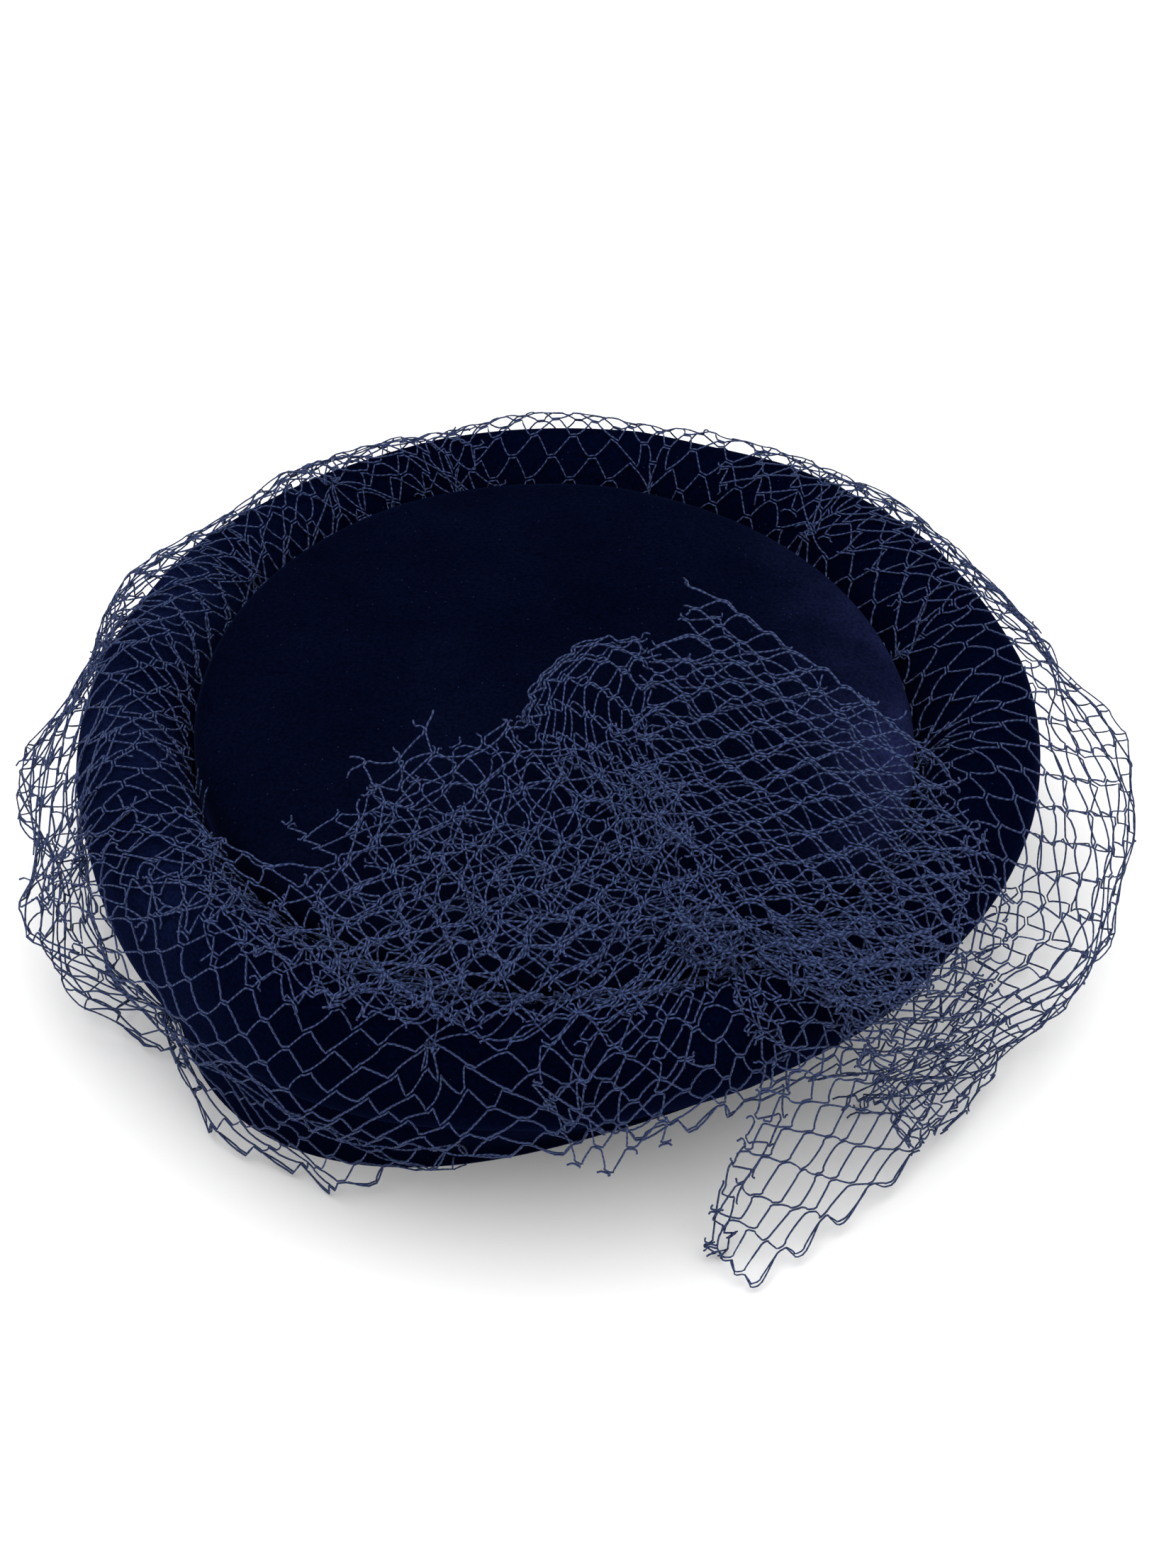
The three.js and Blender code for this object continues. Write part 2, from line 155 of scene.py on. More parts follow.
# point of a plan oval in a direction from its centre, moved inwards by an inset
def ovalPoint(oval, angle, inset=0.0):
    radius = ovalRadius(oval, angle) - inset
    x, y = oval["x"] + radius * np.cos(angle), oval["y"] + radius * np.sin(angle)
    return np.stack([x, y], axis=-1)


# object on a body from points in millimetres round the hat's middle and faces, with a UV for
# each corner where one is given
def addPiece(name, points, faces, material, uv=None, body="root"):
    mesh = bpy.data.meshes.new(name)
    mesh.from_pydata((points * mm + hatMiddle).tolist(), [], faces)
    mesh.polygons.foreach_set("use_smooth", np.full(len(mesh.polygons), True))
    if uv is not None:
        mesh.uv_layers.new(name="alongThread").data.foreach_set("uv", uv.ravel().astype(float))
    mesh.materials.append(material)
    mesh.update()
    piece = bpy.data.objects.new(name, mesh)
    bpy.context.scene.collection.objects.link(piece)
    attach(piece, body)
    return piece


# faces of a grid of points, rows by columns, joined round in either direction where asked
def gridFaces(rows, columns, roundRows=False, roundColumns=False):
    r = np.arange(rows if roundRows else rows - 1)
    c = np.arange(columns if roundColumns else columns - 1)
    r, c = np.meshgrid(r, c, indexing="ij")
    nextR, nextC = (r + 1) % rows, (c + 1) % columns
    corners = [r * columns + c, r * columns + nextC, nextR * columns + nextC, nextR * columns + c]
    return np.stack(corners, axis=-1).reshape(-1, 4)


# one node with its settings and its links: a setting is a property or an input's value, and a
# link is (node, output) for an input
def addNode(tree, kind, settings=None, links=None):
    node = tree.nodes.new("ShaderNode" + kind)
    for name, value in (settings or {}).items():
        if isinstance(name, str) and hasattr(node, name):
            setattr(node, name, value)
        else:
            node.inputs[name].default_value = value
    for name, (source, output) in (links or {}).items():
        tree.links.new(source.outputs[output], node.inputs[name])
    return node


# material with a Principled shader that has these settings
def newMaterial(name, settings):
    material = bpy.data.materials.new(name)
    material.use_nodes = True
    tree = material.node_tree
    shader = tree.nodes["Principled BSDF"]
    for socket, value in settings.items():
        shader.inputs[socket].default_value = value
    return material, tree, shader


velvetLook = {
    "lint": "#4a5378",
    "sheen": 0.05,
    "sheenSpread": 0.28,
    "sheenTint": "#6f86ee",
    "napSize": 45,  # how far apart patches of crushed pile lie, in millimetres
    "leastSheen": 0.07,  # least share of the crushed and painted sheen colour, on the side away from the light
    "cloudFrom": {"From Min": 0.35, "From Max": 0.65, "To Min": 0.25, "To Max": 1.15},
    "grain": 0.9,  # pile tufts are about 0.2 mm wide, drawn coarser to show
    "grainShades": {"From Min": 0.25, "From Max": 0.75, "To Min": 0.55, "To Max": 1.45},
    "grainDepth": 0.3,
    "lintSpacing": 2.4,
    "lintSize": {"From Min": 0.055, "From Max": 0.03},  # shares of the spacing
}


# Cotton velvet, cut pile on a woven ground: the pile swallows light seen from above and glows
# blue at a low angle, with clouds where it was brushed over, a fine grain and specks of lint.
# The last argument says from where to where along X, in millimetres, the crushed colour grows as a
# painted highlight: it stands for the velvet's sheen on the side that faces the light, as well as
# for real crushed pile in the clouds.
def cutPileVelvet(name, look, pile, sheenAndCrushed, sheenSide):
    matt = {"Roughness": 1.0, "Specular IOR Level": 0.0}
    sheen = {"Sheen Weight": look["sheen"], "Sheen Roughness": look["sheenSpread"]}
    sheen["Sheen Tint"] = linear(look["sheenTint"])
    material, tree, shader = newMaterial(name, matt | sheen)
    place = addNode(tree, "TexCoord")
    onPiece = {"Vector": (place, "Object")}
    napScale = {"Scale": 1 / (look["napSize"] * mm), "Detail": 3.0, "Roughness": 0.6}
    clouds = addNode(tree, "TexNoise", napScale, onPiece)
    patchy = addNode(tree, "MapRange", look["cloudFrom"], {"Value": (clouds, "Fac")})
    axes = addNode(tree, "SeparateXYZ", links=onPiece)
    # painted highlight: the crushed colour is mixed in over one side along X for the sheen where
    # the pile catches the light, broken into clouds of real crushed pile
    sheenRamp = {"From Min": sheenSide[0] * mm, "From Max": sheenSide[1] * mm, "To Min": look["leastSheen"]}
    sheenRamp["interpolation_type"] = "SMOOTHSTEP"
    paintedSheen = addNode(tree, "MapRange", sheenRamp, {"Value": (axes, "X")})
    both = {0: (paintedSheen, "Result"), 1: (patchy, "Result")}
    sheenAndPatches = addNode(tree, "Math", {"operation": "MULTIPLY"}, both)
    blend = {"data_type": "RGBA", 6: linear(pile), 7: linear(sheenAndCrushed)}
    shades = addNode(tree, "Mix", blend, {0: (sheenAndPatches, "Value")})
    grainScale = {"Scale": 1 / (look["grain"] * mm), "Detail": 2.0}
    tufts = addNode(tree, "TexNoise", grainScale, onPiece)
    darker = addNode(tree, "MapRange", look["grainShades"], {"Value": (tufts, "Fac")})
    scaled = {0: (shades, 2), "Scale": (darker, "Result")}
    grained = addNode(tree, "VectorMath", {"operation": "SCALE"}, scaled)
    specks = addNode(tree, "TexVoronoi", {"Scale": 1 / (look["lintSpacing"] * mm)}, onPiece)
    isLint = addNode(tree, "MapRange", look["lintSize"], {"Value": (specks, "Distance")})
    someLint = {0: (isLint, "Result"), 1: (clouds, "Fac")}
    lint = addNode(tree, "Math", {"operation": "MULTIPLY"}, someLint)
    dusting = {0: (lint, "Value"), 6: (grained, "Vector")}
    dusted = addNode(tree, "Mix", {"data_type": "RGBA", 7: linear(look["lint"])}, dusting)
    pileDepth = {"Strength": 0.5, "Distance": look["grainDepth"] * mm}
    bump = addNode(tree, "Bump", pileDepth, {"Height": (tufts, "Fac")})
    tree.links.new(dusted.outputs[2], shader.inputs["Base Color"])
    tree.links.new(bump.outputs["Normal"], shader.inputs["Normal"])
    return material


threadLook = {
    "thread": "#394871",
    "plyGrooveShade": "#141f40",  # painted shade in the groove between the two plies
    "twist": 1.3,  # millimetres of thread to a turn of the plies
    "fuzz": 1.2,
    "fuzzShare": 0.35,
    "plyDepth": 0.15,
}


# Cotton thread of two twisted plies, knotted into net and stiffened: matt, lighter than the
# velvet, with a fine slanting stripe of painted shade in the groove where the plies cross, patchy
# with fuzz
def twistedCottonThread(name, look):
    matt = {"Roughness": 0.8, "Specular IOR Level": 0.15}
    sheen = {"Sheen Weight": 0.04, "Sheen Roughness": 0.5}
    material, tree, shader = newMaterial(name, matt | sheen)
    along = addNode(tree, "UVMap", {"uv_map": "alongThread"})
    place = addNode(tree, "TexCoord")
    stripes = {"bands_direction": "DIAGONAL", "wave_profile": "SIN"}
    stripes |= {"Scale": 0.5 / look["twist"], "Distortion": 0.0}
    plies = addNode(tree, "TexWave", stripes, {"Vector": (along, "UV")})
    fuzzScale = {"Scale": 1 / (look["fuzz"] * mm), "Detail": 2.0}
    fuzz = addNode(tree, "TexNoise", fuzzScale, {"Vector": (place, "Object")})
    added = {"operation": "MULTIPLY_ADD", 1: look["fuzzShare"]}
    height = addNode(tree, "Math", added, {0: (fuzz, "Fac"), 2: (plies, "Fac")})
    # painted shade: the thread darkens to the groove colour where the plies dip, and in random
    # spots where the fuzz is low
    crossing = {"From Min": 0.25, "From Max": 0.95}
    shade = addNode(tree, "MapRange", crossing, {"Value": (height, "Value")})
    blend = {"data_type": "RGBA", 6: linear(look["plyGrooveShade"]), 7: linear(look["thread"])}
    colour = addNode(tree, "Mix", blend, {0: (shade, "Result")})
    twist = {"Strength": 0.8, "Distance": look["plyDepth"] * mm}
    bump = addNode(tree, "Bump", twist, {"Height": (height, "Value")})
    tree.links.new(colour.outputs[2], shader.inputs["Base Color"])
    tree.links.new(bump.outputs["Normal"], shader.inputs["Normal"])
    return material


# the second colour of each velvet is crushed pile and a painted highlight: it lies over the
# crown's right and the brim's left, where the pile catches the light
crownVelvet = cutPileVelvet("crown cut pile velvet", velvetLook, "#01030f", "#1f2448", (40, 100))
brimVelvet = cutPileVelvet("brim cut pile velvet", velvetLook, "#010312", "#0d1430", (-55, -135))
netThread = twistedCottonThread("net twisted cotton thread", threadLook)
print("materials made")

# the brim's section from the hem up the outside, over the roll and down into the groove:
# level is a share of the brim's height, reach goes from the hem oval to the rim oval, inward
# from the rim oval to the crown, and crease is a share of the crease's depth
brim = {
    "section": rowsOf(
        "level reach inward crease",
        (0, 0, 0, 0),
        (0.1, 0.07, 0, 0),
        (0.26, 0.3, 0, 0.3),
        (0.42, 0.56, 0, 1),
        (0.5, 0.74, 0, -0.3),
        (0.62, 0.89, 0, -0.5),
        (0.78, 1, 0, 0),
        (0.9, 1, 0.06, 0),
        (0.975, 1, 0.24, 0),
        (1, 1, 0.44, 0),
        (0.97, 1, 0.66, 0),
        (0.89, 1, 0.86, 0),
        (0.77, 1, 0.98, 0),
    ),
    "widestRow": 6,
    "facetsRound": 288,
    "facetsAlong": 84,
    "dents": {"depth": 0.7, "size": 60, "seed": 3, "inwards": 0.6, "eitherWay": 0.4},
}


# smooth share from 0 to 1 and back to 0 across the creased part of the brim
def creaseAt(angle):
    start, end = hat["creaseFrom"], hat["creaseTo"]
    share = np.clip((np.degrees(angle) % 360 - start) / (end - start), 0, 1)
    return np.sin(np.pi * share) ** 2


# point of the brim's outer skin at a fractional row: the hem oval moved towards the rim oval by
# reach and towards the crown oval by inward, pinched in at the crease
def brimPoint(angle, row):
    angle, row = np.broadcast_arrays(np.asarray(angle, float), np.asarray(row, float))
    column = {
        name: smoothRows(valuesOf(brim["section"], name), row)[..., None]
        for name in ("level", "reach", "inward", "crease")
    }
    hem, rim = ovalPoint(hat["hemOval"], angle), ovalPoint(hat["rimOval"], angle)
    plan = hem + (rim - hem) * column["reach"]
    plan = plan + (ovalPoint(hat["crownOval"], angle, -hat["seam"]) - plan) * column["inward"]
    pinch = column["crease"] * (hat["creaseDepth"] * creaseAt(angle))[..., None]
    plan = plan - outwards(angle)[..., :2] * pinch
    return np.concatenate([plan, column["level"] * brimHeight], axis=-1)


# sections moved square to themselves in the upright plane at each angle, outwards where
# distance is positive: the run along the last but one axis is turned by a quarter
def offsetSections(sections, angle, distance):
    out = outwards(angle)
    run = np.gradient(sections, axis=-2)
    outRun = (run * out).sum(axis=-1)
    side = unit(np.stack([run[..., 2], -outRun], axis=-1))
    moved = sections + out * (side[..., 0] * distance)[..., None]
    moved[..., 2] += side[..., 1] * distance
    return moved


# the brim is a closed wall: its section goes up the outer skin, which has soft dents, more of
# them inwards, and back down the inner one
def makeBrim():
    angle = np.linspace(0, tau, brim["facetsRound"], endpoint=False)[:, None]
    row = np.linspace(0, len(brim["section"]) - 1, brim["facetsAlong"])[None, :]
    outer = brimPoint(angle, row)
    turn = np.broadcast_to(angle, outer.shape[:2])
    inner = offsetSections(outer, turn, -hat["wall"])
    inner[:, 0, 2] = 0.0
    soft = np.sin(np.pi * row / row.max())[0, :, None] ** 0.5
    dents = brim["dents"]
    dent = dents["depth"] * unevenness(outer, dents["size"], dents["seed"]) * soft[..., 0]
    dent = -np.abs(dent) * dents["inwards"] + dent * dents["eitherWay"]
    outer = offsetSections(outer, turn, dent)
    loops = np.concatenate([outer, inner[:, ::-1]], axis=1)
    rows, columns = loops.shape[:2]
    faces = gridFaces(rows, columns, True, True)[:, ::-1]
    return loops.reshape(-1, 3), faces


points, faces = makeBrim()
brimPiece = addPiece("brim_velvet_wall", points, faces.tolist(), brimVelvet)
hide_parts("brim")
print("brim made")

# the crown's tip as shares of the crown oval and of its height, and its side band, where flare
# goes from the foot to the crown oval
crown = {
    "tip": rowsOf(
        "out level",
        (0.0, 1.0),
        (0.2, 0.997),
        (0.4, 0.985),
        (0.7, 0.96),
        (0.88, 0.925),
        (0.96, 0.89),
        (0.992, 0.845),
    ),
    "band": rowsOf(
        "flare level",
        (1, 0.79),
        (1, 0.71),
        (0.8, 0.54),
        (0.42, 0.32),
        (0.1, 0.14),
        (0, 0),
    ),
    "facetsRound": 256,
    "facetsAlong": 96,
    "dents": {"depth": 0.5, "size": 70, "seed": 5},
}


# the crown is a cup: each chain runs from the middle of the tip down the outer skin to the foot
# and back up the inner skin, and the two middles close it
def makeCrown():
    angle = np.linspace(0, tau, crown["facetsRound"], endpoint=False)[:, None]
    tip, band = crown["tip"], crown["band"]
    at = np.linspace(0, len(tip + band) - 1, crown["facetsAlong"])[None, :]
    edge = ovalPoint(hat["crownOval"], angle)
    foot = ovalPoint(hat["hemOval"], angle, hat["wall"] + hat["seam"])
    middle = np.array([hat["crownOval"]["x"], hat["crownOval"]["y"]])
    out = smoothRows(np.append(valuesOf(tip, "out"), np.ones(len(band))), at)
    flare = smoothRows(np.append(np.ones(len(tip)), valuesOf(band, "flare")), at)
    level = smoothRows(valuesOf(tip + band, "level"), at)
    plan = foot + (edge - foot) * flare[..., None]
    plan = middle + (plan - middle) * out[..., None]
    height = np.broadcast_to(level * crownHeight, plan.shape[:2])[..., None]
    outer = np.concatenate([plan, height], axis=-1)
    turn = np.broadcast_to(angle, outer.shape[:2])
    inner = offsetSections(outer[:, 1:], turn[:, 1:], hat["wall"])
    inner[:, -1, 2] = 0.0
    soft = np.sin(np.pi * np.clip(at / at.max() * 2, 0, 1))[..., None]
    dents = crown["dents"]
    dent = np.abs(unevenness(outer, dents["size"], dents["seed"]))
    outer[..., 2:] -= dents["depth"] * dent[..., None] * soft
    chains = np.concatenate([outer[:, 1:], inner[:, ::-1]], axis=1)
    rows, columns = chains.shape[:2]
    top = np.append(middle, crownHeight)
    under = np.append(middle, crownHeight - hat["wall"])
    points = np.concatenate([chains.reshape(-1, 3), [top, under]])
    faces = gridFaces(rows, columns, True)
    first = np.arange(rows) * columns
    after = np.roll(first, -1)
    topFan = np.stack([np.full(rows, len(points) - 2), first, after], axis=-1)
    lastColumn = columns - 1
    underRing = [after + lastColumn, first + lastColumn]
    underFan = np.stack([np.full(rows, len(points) - 1), *underRing], axis=-1)
    return points, faces.tolist() + topFan.tolist() + underFan.tolist()


points, faces = makeCrown()
crownPiece = addPiece("crown_velvet_shell", points, faces, crownVelvet)
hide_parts("crown")
print("crown made")

# the net: meshes with four long sides and two short ones, where two threads lie side by side
net = {
    "period": 12.4,  # from one short side to the next in its row
    "rowStep": 5.6,
    "restPeriod": 6.2,  # the same in a flat piece before it is pulled open
    "shortSide": 2.0,
    "pairGap": 0.8,  # between the middles of the two threads of a short side
    "thread": 0.48,
    "sides": 4,  # so that a tube's caps are quads as its sides are
    # cut ends: the longest, the least share of it, how far sideways they go against 1 up or
    # down, how much they scatter and how much they hook
    "cutEnd": {"length": 4.5, "least": 0.3, "sideways": 0.7, "scatter": 0.45, "hook": 0.4},
}
longSide = np.hypot((net["period"] - 2 * net["shortSide"]) / 2, net["rowStep"])


# Grid of short sides: row j, column i, every second row moved by half a period. Returns for
# each the u of its two ends and its v, in periods and rows
def netGrid(columns, rows):
    j, i = np.meshgrid(np.arange(rows), np.arange(columns), indexing="ij")
    u = i + 0.5 * (j % 2)
    half = net["shortSide"] / net["period"] / 2
    return u - half, u + half, j.astype(float)


# values of the neighbours up or down a row and to the left or right of each short side, and
# whether there is one
def neighbour(values, rowsOn, right, closed):
    rows, columns = values.shape[:2]
    j, i = np.meshgrid(np.arange(rows), np.arange(columns), indexing="ij")
    toRow = j + rowsOn
    toColumn = i + (j % 2) - (0 if right else 1)
    there = (toRow >= 0) & (toRow < rows)
    if not closed:
        there &= (toColumn >= 0) & (toColumn < columns)
    return values[np.clip(toRow, 0, rows - 1), toColumn % columns], there


# Threads of a net from the places of the two ends of each short side. Each strand comes down
# half a long side, runs along its short side and goes up half the next long side, or the same
# upside down. A strand with no neighbour to reach ends in the air as a cut thread with a hook,
# or, on a selvage, goes back beside the thread that it came with.
def netStrands(left, right, closed, seed, bow=0.3, keep=None, selvage=False, stray=1.0):
    random = np.random.default_rng(seed)
    alive = np.ones(left.shape[:2], bool) if keep is None else keep
    bar = unit(right - left)
    middle = (left + right) / 2
    cut, each = net["cutEnd"], left.shape[:2] + (1,)
    ends = {}
    tall = np.zeros_like(left)
    for up in (1, -1):
        for side in (0, 1):
            place, there = neighbour(right if side == 0 else left, up, side == 1, closed)
            there = there & neighbour(alive, up, side == 1, closed)[0]
            ends[up, side] = place, there
            tall += np.where(there[..., None], up * (place - middle), 0.0)
    tall = unit(tall - bar * (tall * bar).sum(-1, keepdims=True))
    face = np.cross(bar, tall)
    half = tall * net["pairGap"] / 2
    # the bow of a long side belongs to the lower short side that it leaves from
    sag = {side: random.normal(scale=bow, size=left.shape) for side in (0, 1)}
    strands = []
    for up in (1, -1):
        line = [None] * 6
        for side in (0, 1):
            start = (left if side == 0 else right) + up * half
            place, there = ends[up, side]
            farHalf, _ = neighbour(half, up, side == 1, closed)
            bend = sag[side] if up == 1 else neighbour(sag[1 - side], -1, side == 1, closed)[0]
            reach = (start + place - up * farHalf) / 2 + bend
            away = (-1 if side == 0 else 1) * bar
            scatter = random.normal(scale=cut["scatter"], size=left.shape)
            loose = unit(away * cut["sideways"] + up * tall + scatter)
            loose = loose * random.uniform(cut["least"], 1, each) * cut["length"] * stray
            hook = np.cross(face, loose) * random.uniform(-cut["hook"], cut["hook"], each)
            near = start + loose * 0.6 + hook
            loose = start + loose
            if selvage and up == 1:
                back, below = ends[-1, side]
                below = below[..., None]
                loose = np.where(below, start + (back - start) * 0.9 + half * 0.3, loose)
                near = np.where(below, start + (loose - start) * 0.4 + half * 0.7, near)
            there = there[..., None]
            near = np.where(there, start + (reach - start) * 0.35 + bend * 0.4, near)
            reach = np.where(there, reach, loose)
            order = (2, 1, 0) if side == 0 else (3, 4, 5)
            line[order[0]], line[order[1]], line[order[2]] = start, near, reach
        strands.append(np.stack(line, axis=-2)[alive])
    normals = np.repeat(np.concatenate([face[alive], face[alive]])[:, None], 6, axis=1)
    strands = outOfHat(np.concatenate(strands), 0.35, 0.7 * net["thread"])
    return strands, normals


# the same strands with rounder bends, through more points
def rounded(strands, normals, rings):
    shares = rowShares(np.linspace(0, strands.shape[1] - 1, rings), strands.shape[1])
    return np.einsum("ri,nik->nrk", shares, strands), np.repeat(normals[:, :1], rings, axis=1)


# Tubes round strands: a ring of points square to the run at each point of a strand, with
# capped ends. The UV runs in millimetres along the thread and once round it.
def tubeMesh(strands, normals, radius):
    count, rings = strands.shape[:2]
    sides = net["sides"]
    run = unit(np.gradient(strands, axis=1))
    across = unit(np.cross(run, normals))
    over = np.cross(run, across)
    turn = ((np.arange(sides) + 0.5) * tau / sides)[:, None]
    ring = np.cos(turn) * across[:, :, None] + np.sin(turn) * over[:, :, None]
    points = strands[:, :, None] + ring * radius
    cap = np.arange(sides)
    caps = np.stack([cap[::-1], cap + (rings - 1) * sides])
    tube = np.concatenate([gridFaces(rings, sides, False, True), caps])
    faces = (np.arange(count) * rings * sides)[:, None, None] + tube
    step = np.linalg.norm(np.diff(strands, axis=1), axis=-1)
    along = np.concatenate([np.zeros((count, 1)), np.cumsum(step, axis=1)], axis=1)
    along = along + np.random.default_rng(8).uniform(0, 5, (count, 1))
    s, k = np.meshgrid(np.arange(rings - 1), np.arange(sides), indexing="ij")
    s, k = s.ravel(), k.ravel()
    u = along[:, np.stack([s, s, s + 1, s + 1], axis=-1)]
    v = np.stack([k, k + 1, k + 1, k], axis=-1) / sides
    uvSides = np.stack([u, np.broadcast_to(v, u.shape)], axis=-1)
    uvCaps = np.zeros((count, 2, sides, 2))
    uvCaps[..., 0] = along[:, :1, None]
    uv = np.concatenate([uvSides, uvCaps], axis=1)
    return points.reshape(-1, 3), faces.reshape(-1, sides).tolist(), uv


# flat size of a piece of net of so many meshes as it lies before it is pulled open, in metres
def flatNet(columns, rows):
    restStep = np.sqrt(longSide**2 - ((net["restPeriod"] - 2 * net["shortSide"]) / 2) ** 2)
    return columns * net["restPeriod"] * mm, rows * restStep * mm


def threadArea(strands):
    length = np.linalg.norm(np.diff(strands, axis=1), axis=-1).sum()
    return length * net["sides"] * (net["thread"] / 2) * np.sin(np.pi / net["sides"]) * mm * mm


# Prints how many strands a piece of net has and what share of its flat area its threads fill; the
# area is then clamped to between 0.302 and the whole of it, and not used.
def declareNet(piece, flat, strands):
    area, whole = threadArea(strands), flat[0] * flat[1]
    print(piece.name, len(strands), "strands, threads fill", round(area / whole, 3))
    area = min(max(area, 0.302 * whole), whole)


# shares of what is wrong with a long side, a short side and a stitch that a step of relaxing
# puts right
relaxing = {"longSide": 0.3, "shortSide": 0.4, "stitch": 0.25}


# Moves the ends of the short sides until the long sides have a length between the shares slack
# and give of their real one. Short sides keep their length, each point is drawn to where it
# began by the share home, and is moved out of the hat. fixed ends stay, and pins holds what
# stitches catch and where they draw it.
def relax(left, right, closed, fixed, steps, slack, home=0.02, pins=(), keep=None, give=1.0):
    left, right = left.copy(), right.copy()
    firstLeft, firstRight = left.copy(), right.copy()
    free = ~fixed[..., None]
    alive = np.ones(fixed.shape, bool) if keep is None else keep
    for _ in range(steps):
        moves = [np.zeros_like(left), np.zeros_like(right)]
        for up in (1, -1):
            for side in (0, 1):
                mine, other = (left, right) if side == 0 else (right, left)
                place, there = neighbour(other, up, side == 1, closed)
                there = there & neighbour(alive, up, side == 1, closed)[0]
                gap = place - mine
                length = np.maximum(np.linalg.norm(gap, axis=-1), 1e-6)
                wanted = np.clip(length, slack * longSide, give * longSide)
                pull = gap * ((length - wanted) / length)[..., None]
                moves[side] += pull * there[..., None] * relaxing["longSide"]
        gap = right - left
        length = np.maximum(np.linalg.norm(gap, axis=-1), 1e-6)
        pull = gap * ((length - net["shortSide"]) / length)[..., None] * relaxing["shortSide"]
        left = left + (moves[0] + pull + (firstLeft - left) * home) * free
        right = right + (moves[1] - pull + (firstRight - right) * home) * free
        left, right = outOfHat(left), outOfHat(right)
        for atLeft, atRight, spot in pins:
            left[atLeft] += (spot[0] - left[atLeft]) * relaxing["stitch"]
            right[atRight] += (spot[1] - right[atRight]) * relaxing["stitch"]
    return left, right


# the brim's sections in upright planes a degree apart, with their outward sides
sectionRows = np.linspace(0, len(brim["section"]) - 1, 90)
sectionAngles = np.linspace(0, tau, 361)
sectionTable = brimPoint(sectionAngles[:, None], sectionRows[None, :])
sectionOut = outwards(sectionAngles)[:, None, :2]
sectionRadius = (sectionTable[..., :2] * sectionOut).sum(-1)
sectionTurn = np.broadcast_to(sectionAngles[:, None], sectionTable.shape[:2])
outside = offsetSections(sectionTable, sectionTurn, 1.0)
outsideRadius = (outside[..., :2] * sectionOut).sum(-1)
sectionNormal = np.stack(
    [outsideRadius - sectionRadius, outside[..., 2] - sectionTable[..., 2]], axis=-1
)


# Points moved out of the brim by the distance from the nearest point of the section in their own
# upright plane, along its outward side, and up from the crown's tip and the floor. Points deeper
# than the net can be, as under the brim, stay.
def outOfHat(points, clearance=0.6, floor=0.45, deepest=12):
    shape = points.shape
    flat = points.reshape(-1, 3).copy()
    angle = np.arctan2(flat[:, 1], flat[:, 0]) % tau
    radius = np.hypot(flat[:, 0], flat[:, 1])
    plane = np.rint(angle / tau * 360).astype(int)
    dr = radius[:, None] - sectionRadius[plane]
    dz = flat[:, 2:] - sectionTable[plane][..., 2]
    nearest = np.argmin(dr**2 + dz**2, axis=1)
    pick = (np.arange(len(flat)), nearest)
    normal = sectionNormal[plane][pick]
    depth = dr[pick] * normal[:, 0] + dz[pick] * normal[:, 1]
    push = np.clip(clearance - depth, 0, None)
    push = np.where(depth > -deepest, push, 0)
    flat[:, 0] += push * normal[:, 0] * np.cos(angle)
    flat[:, 1] += push * normal[:, 0] * np.sin(angle)
    flat[:, 2] += push * normal[:, 1]
    centre = np.array([hat["crownOval"]["x"], hat["crownOval"]["y"]])
    plan = flat[:, :2] - centre
    out = np.hypot(*plan.T) / ovalRadius(hat["crownOval"], np.arctan2(plan[:, 1], plan[:, 0]))
    tip = np.interp(out, valuesOf(crown["tip"], "out"), valuesOf(crown["tip"], "level"))
    onTip = (out < 1) & (flat[:, 2] > 0.75 * crownHeight)
    top = np.where(onTip, tip * crownHeight + clearance, floor)
    flat[:, 2] = np.maximum(flat[:, 2], top)
    return flat.reshape(shape)


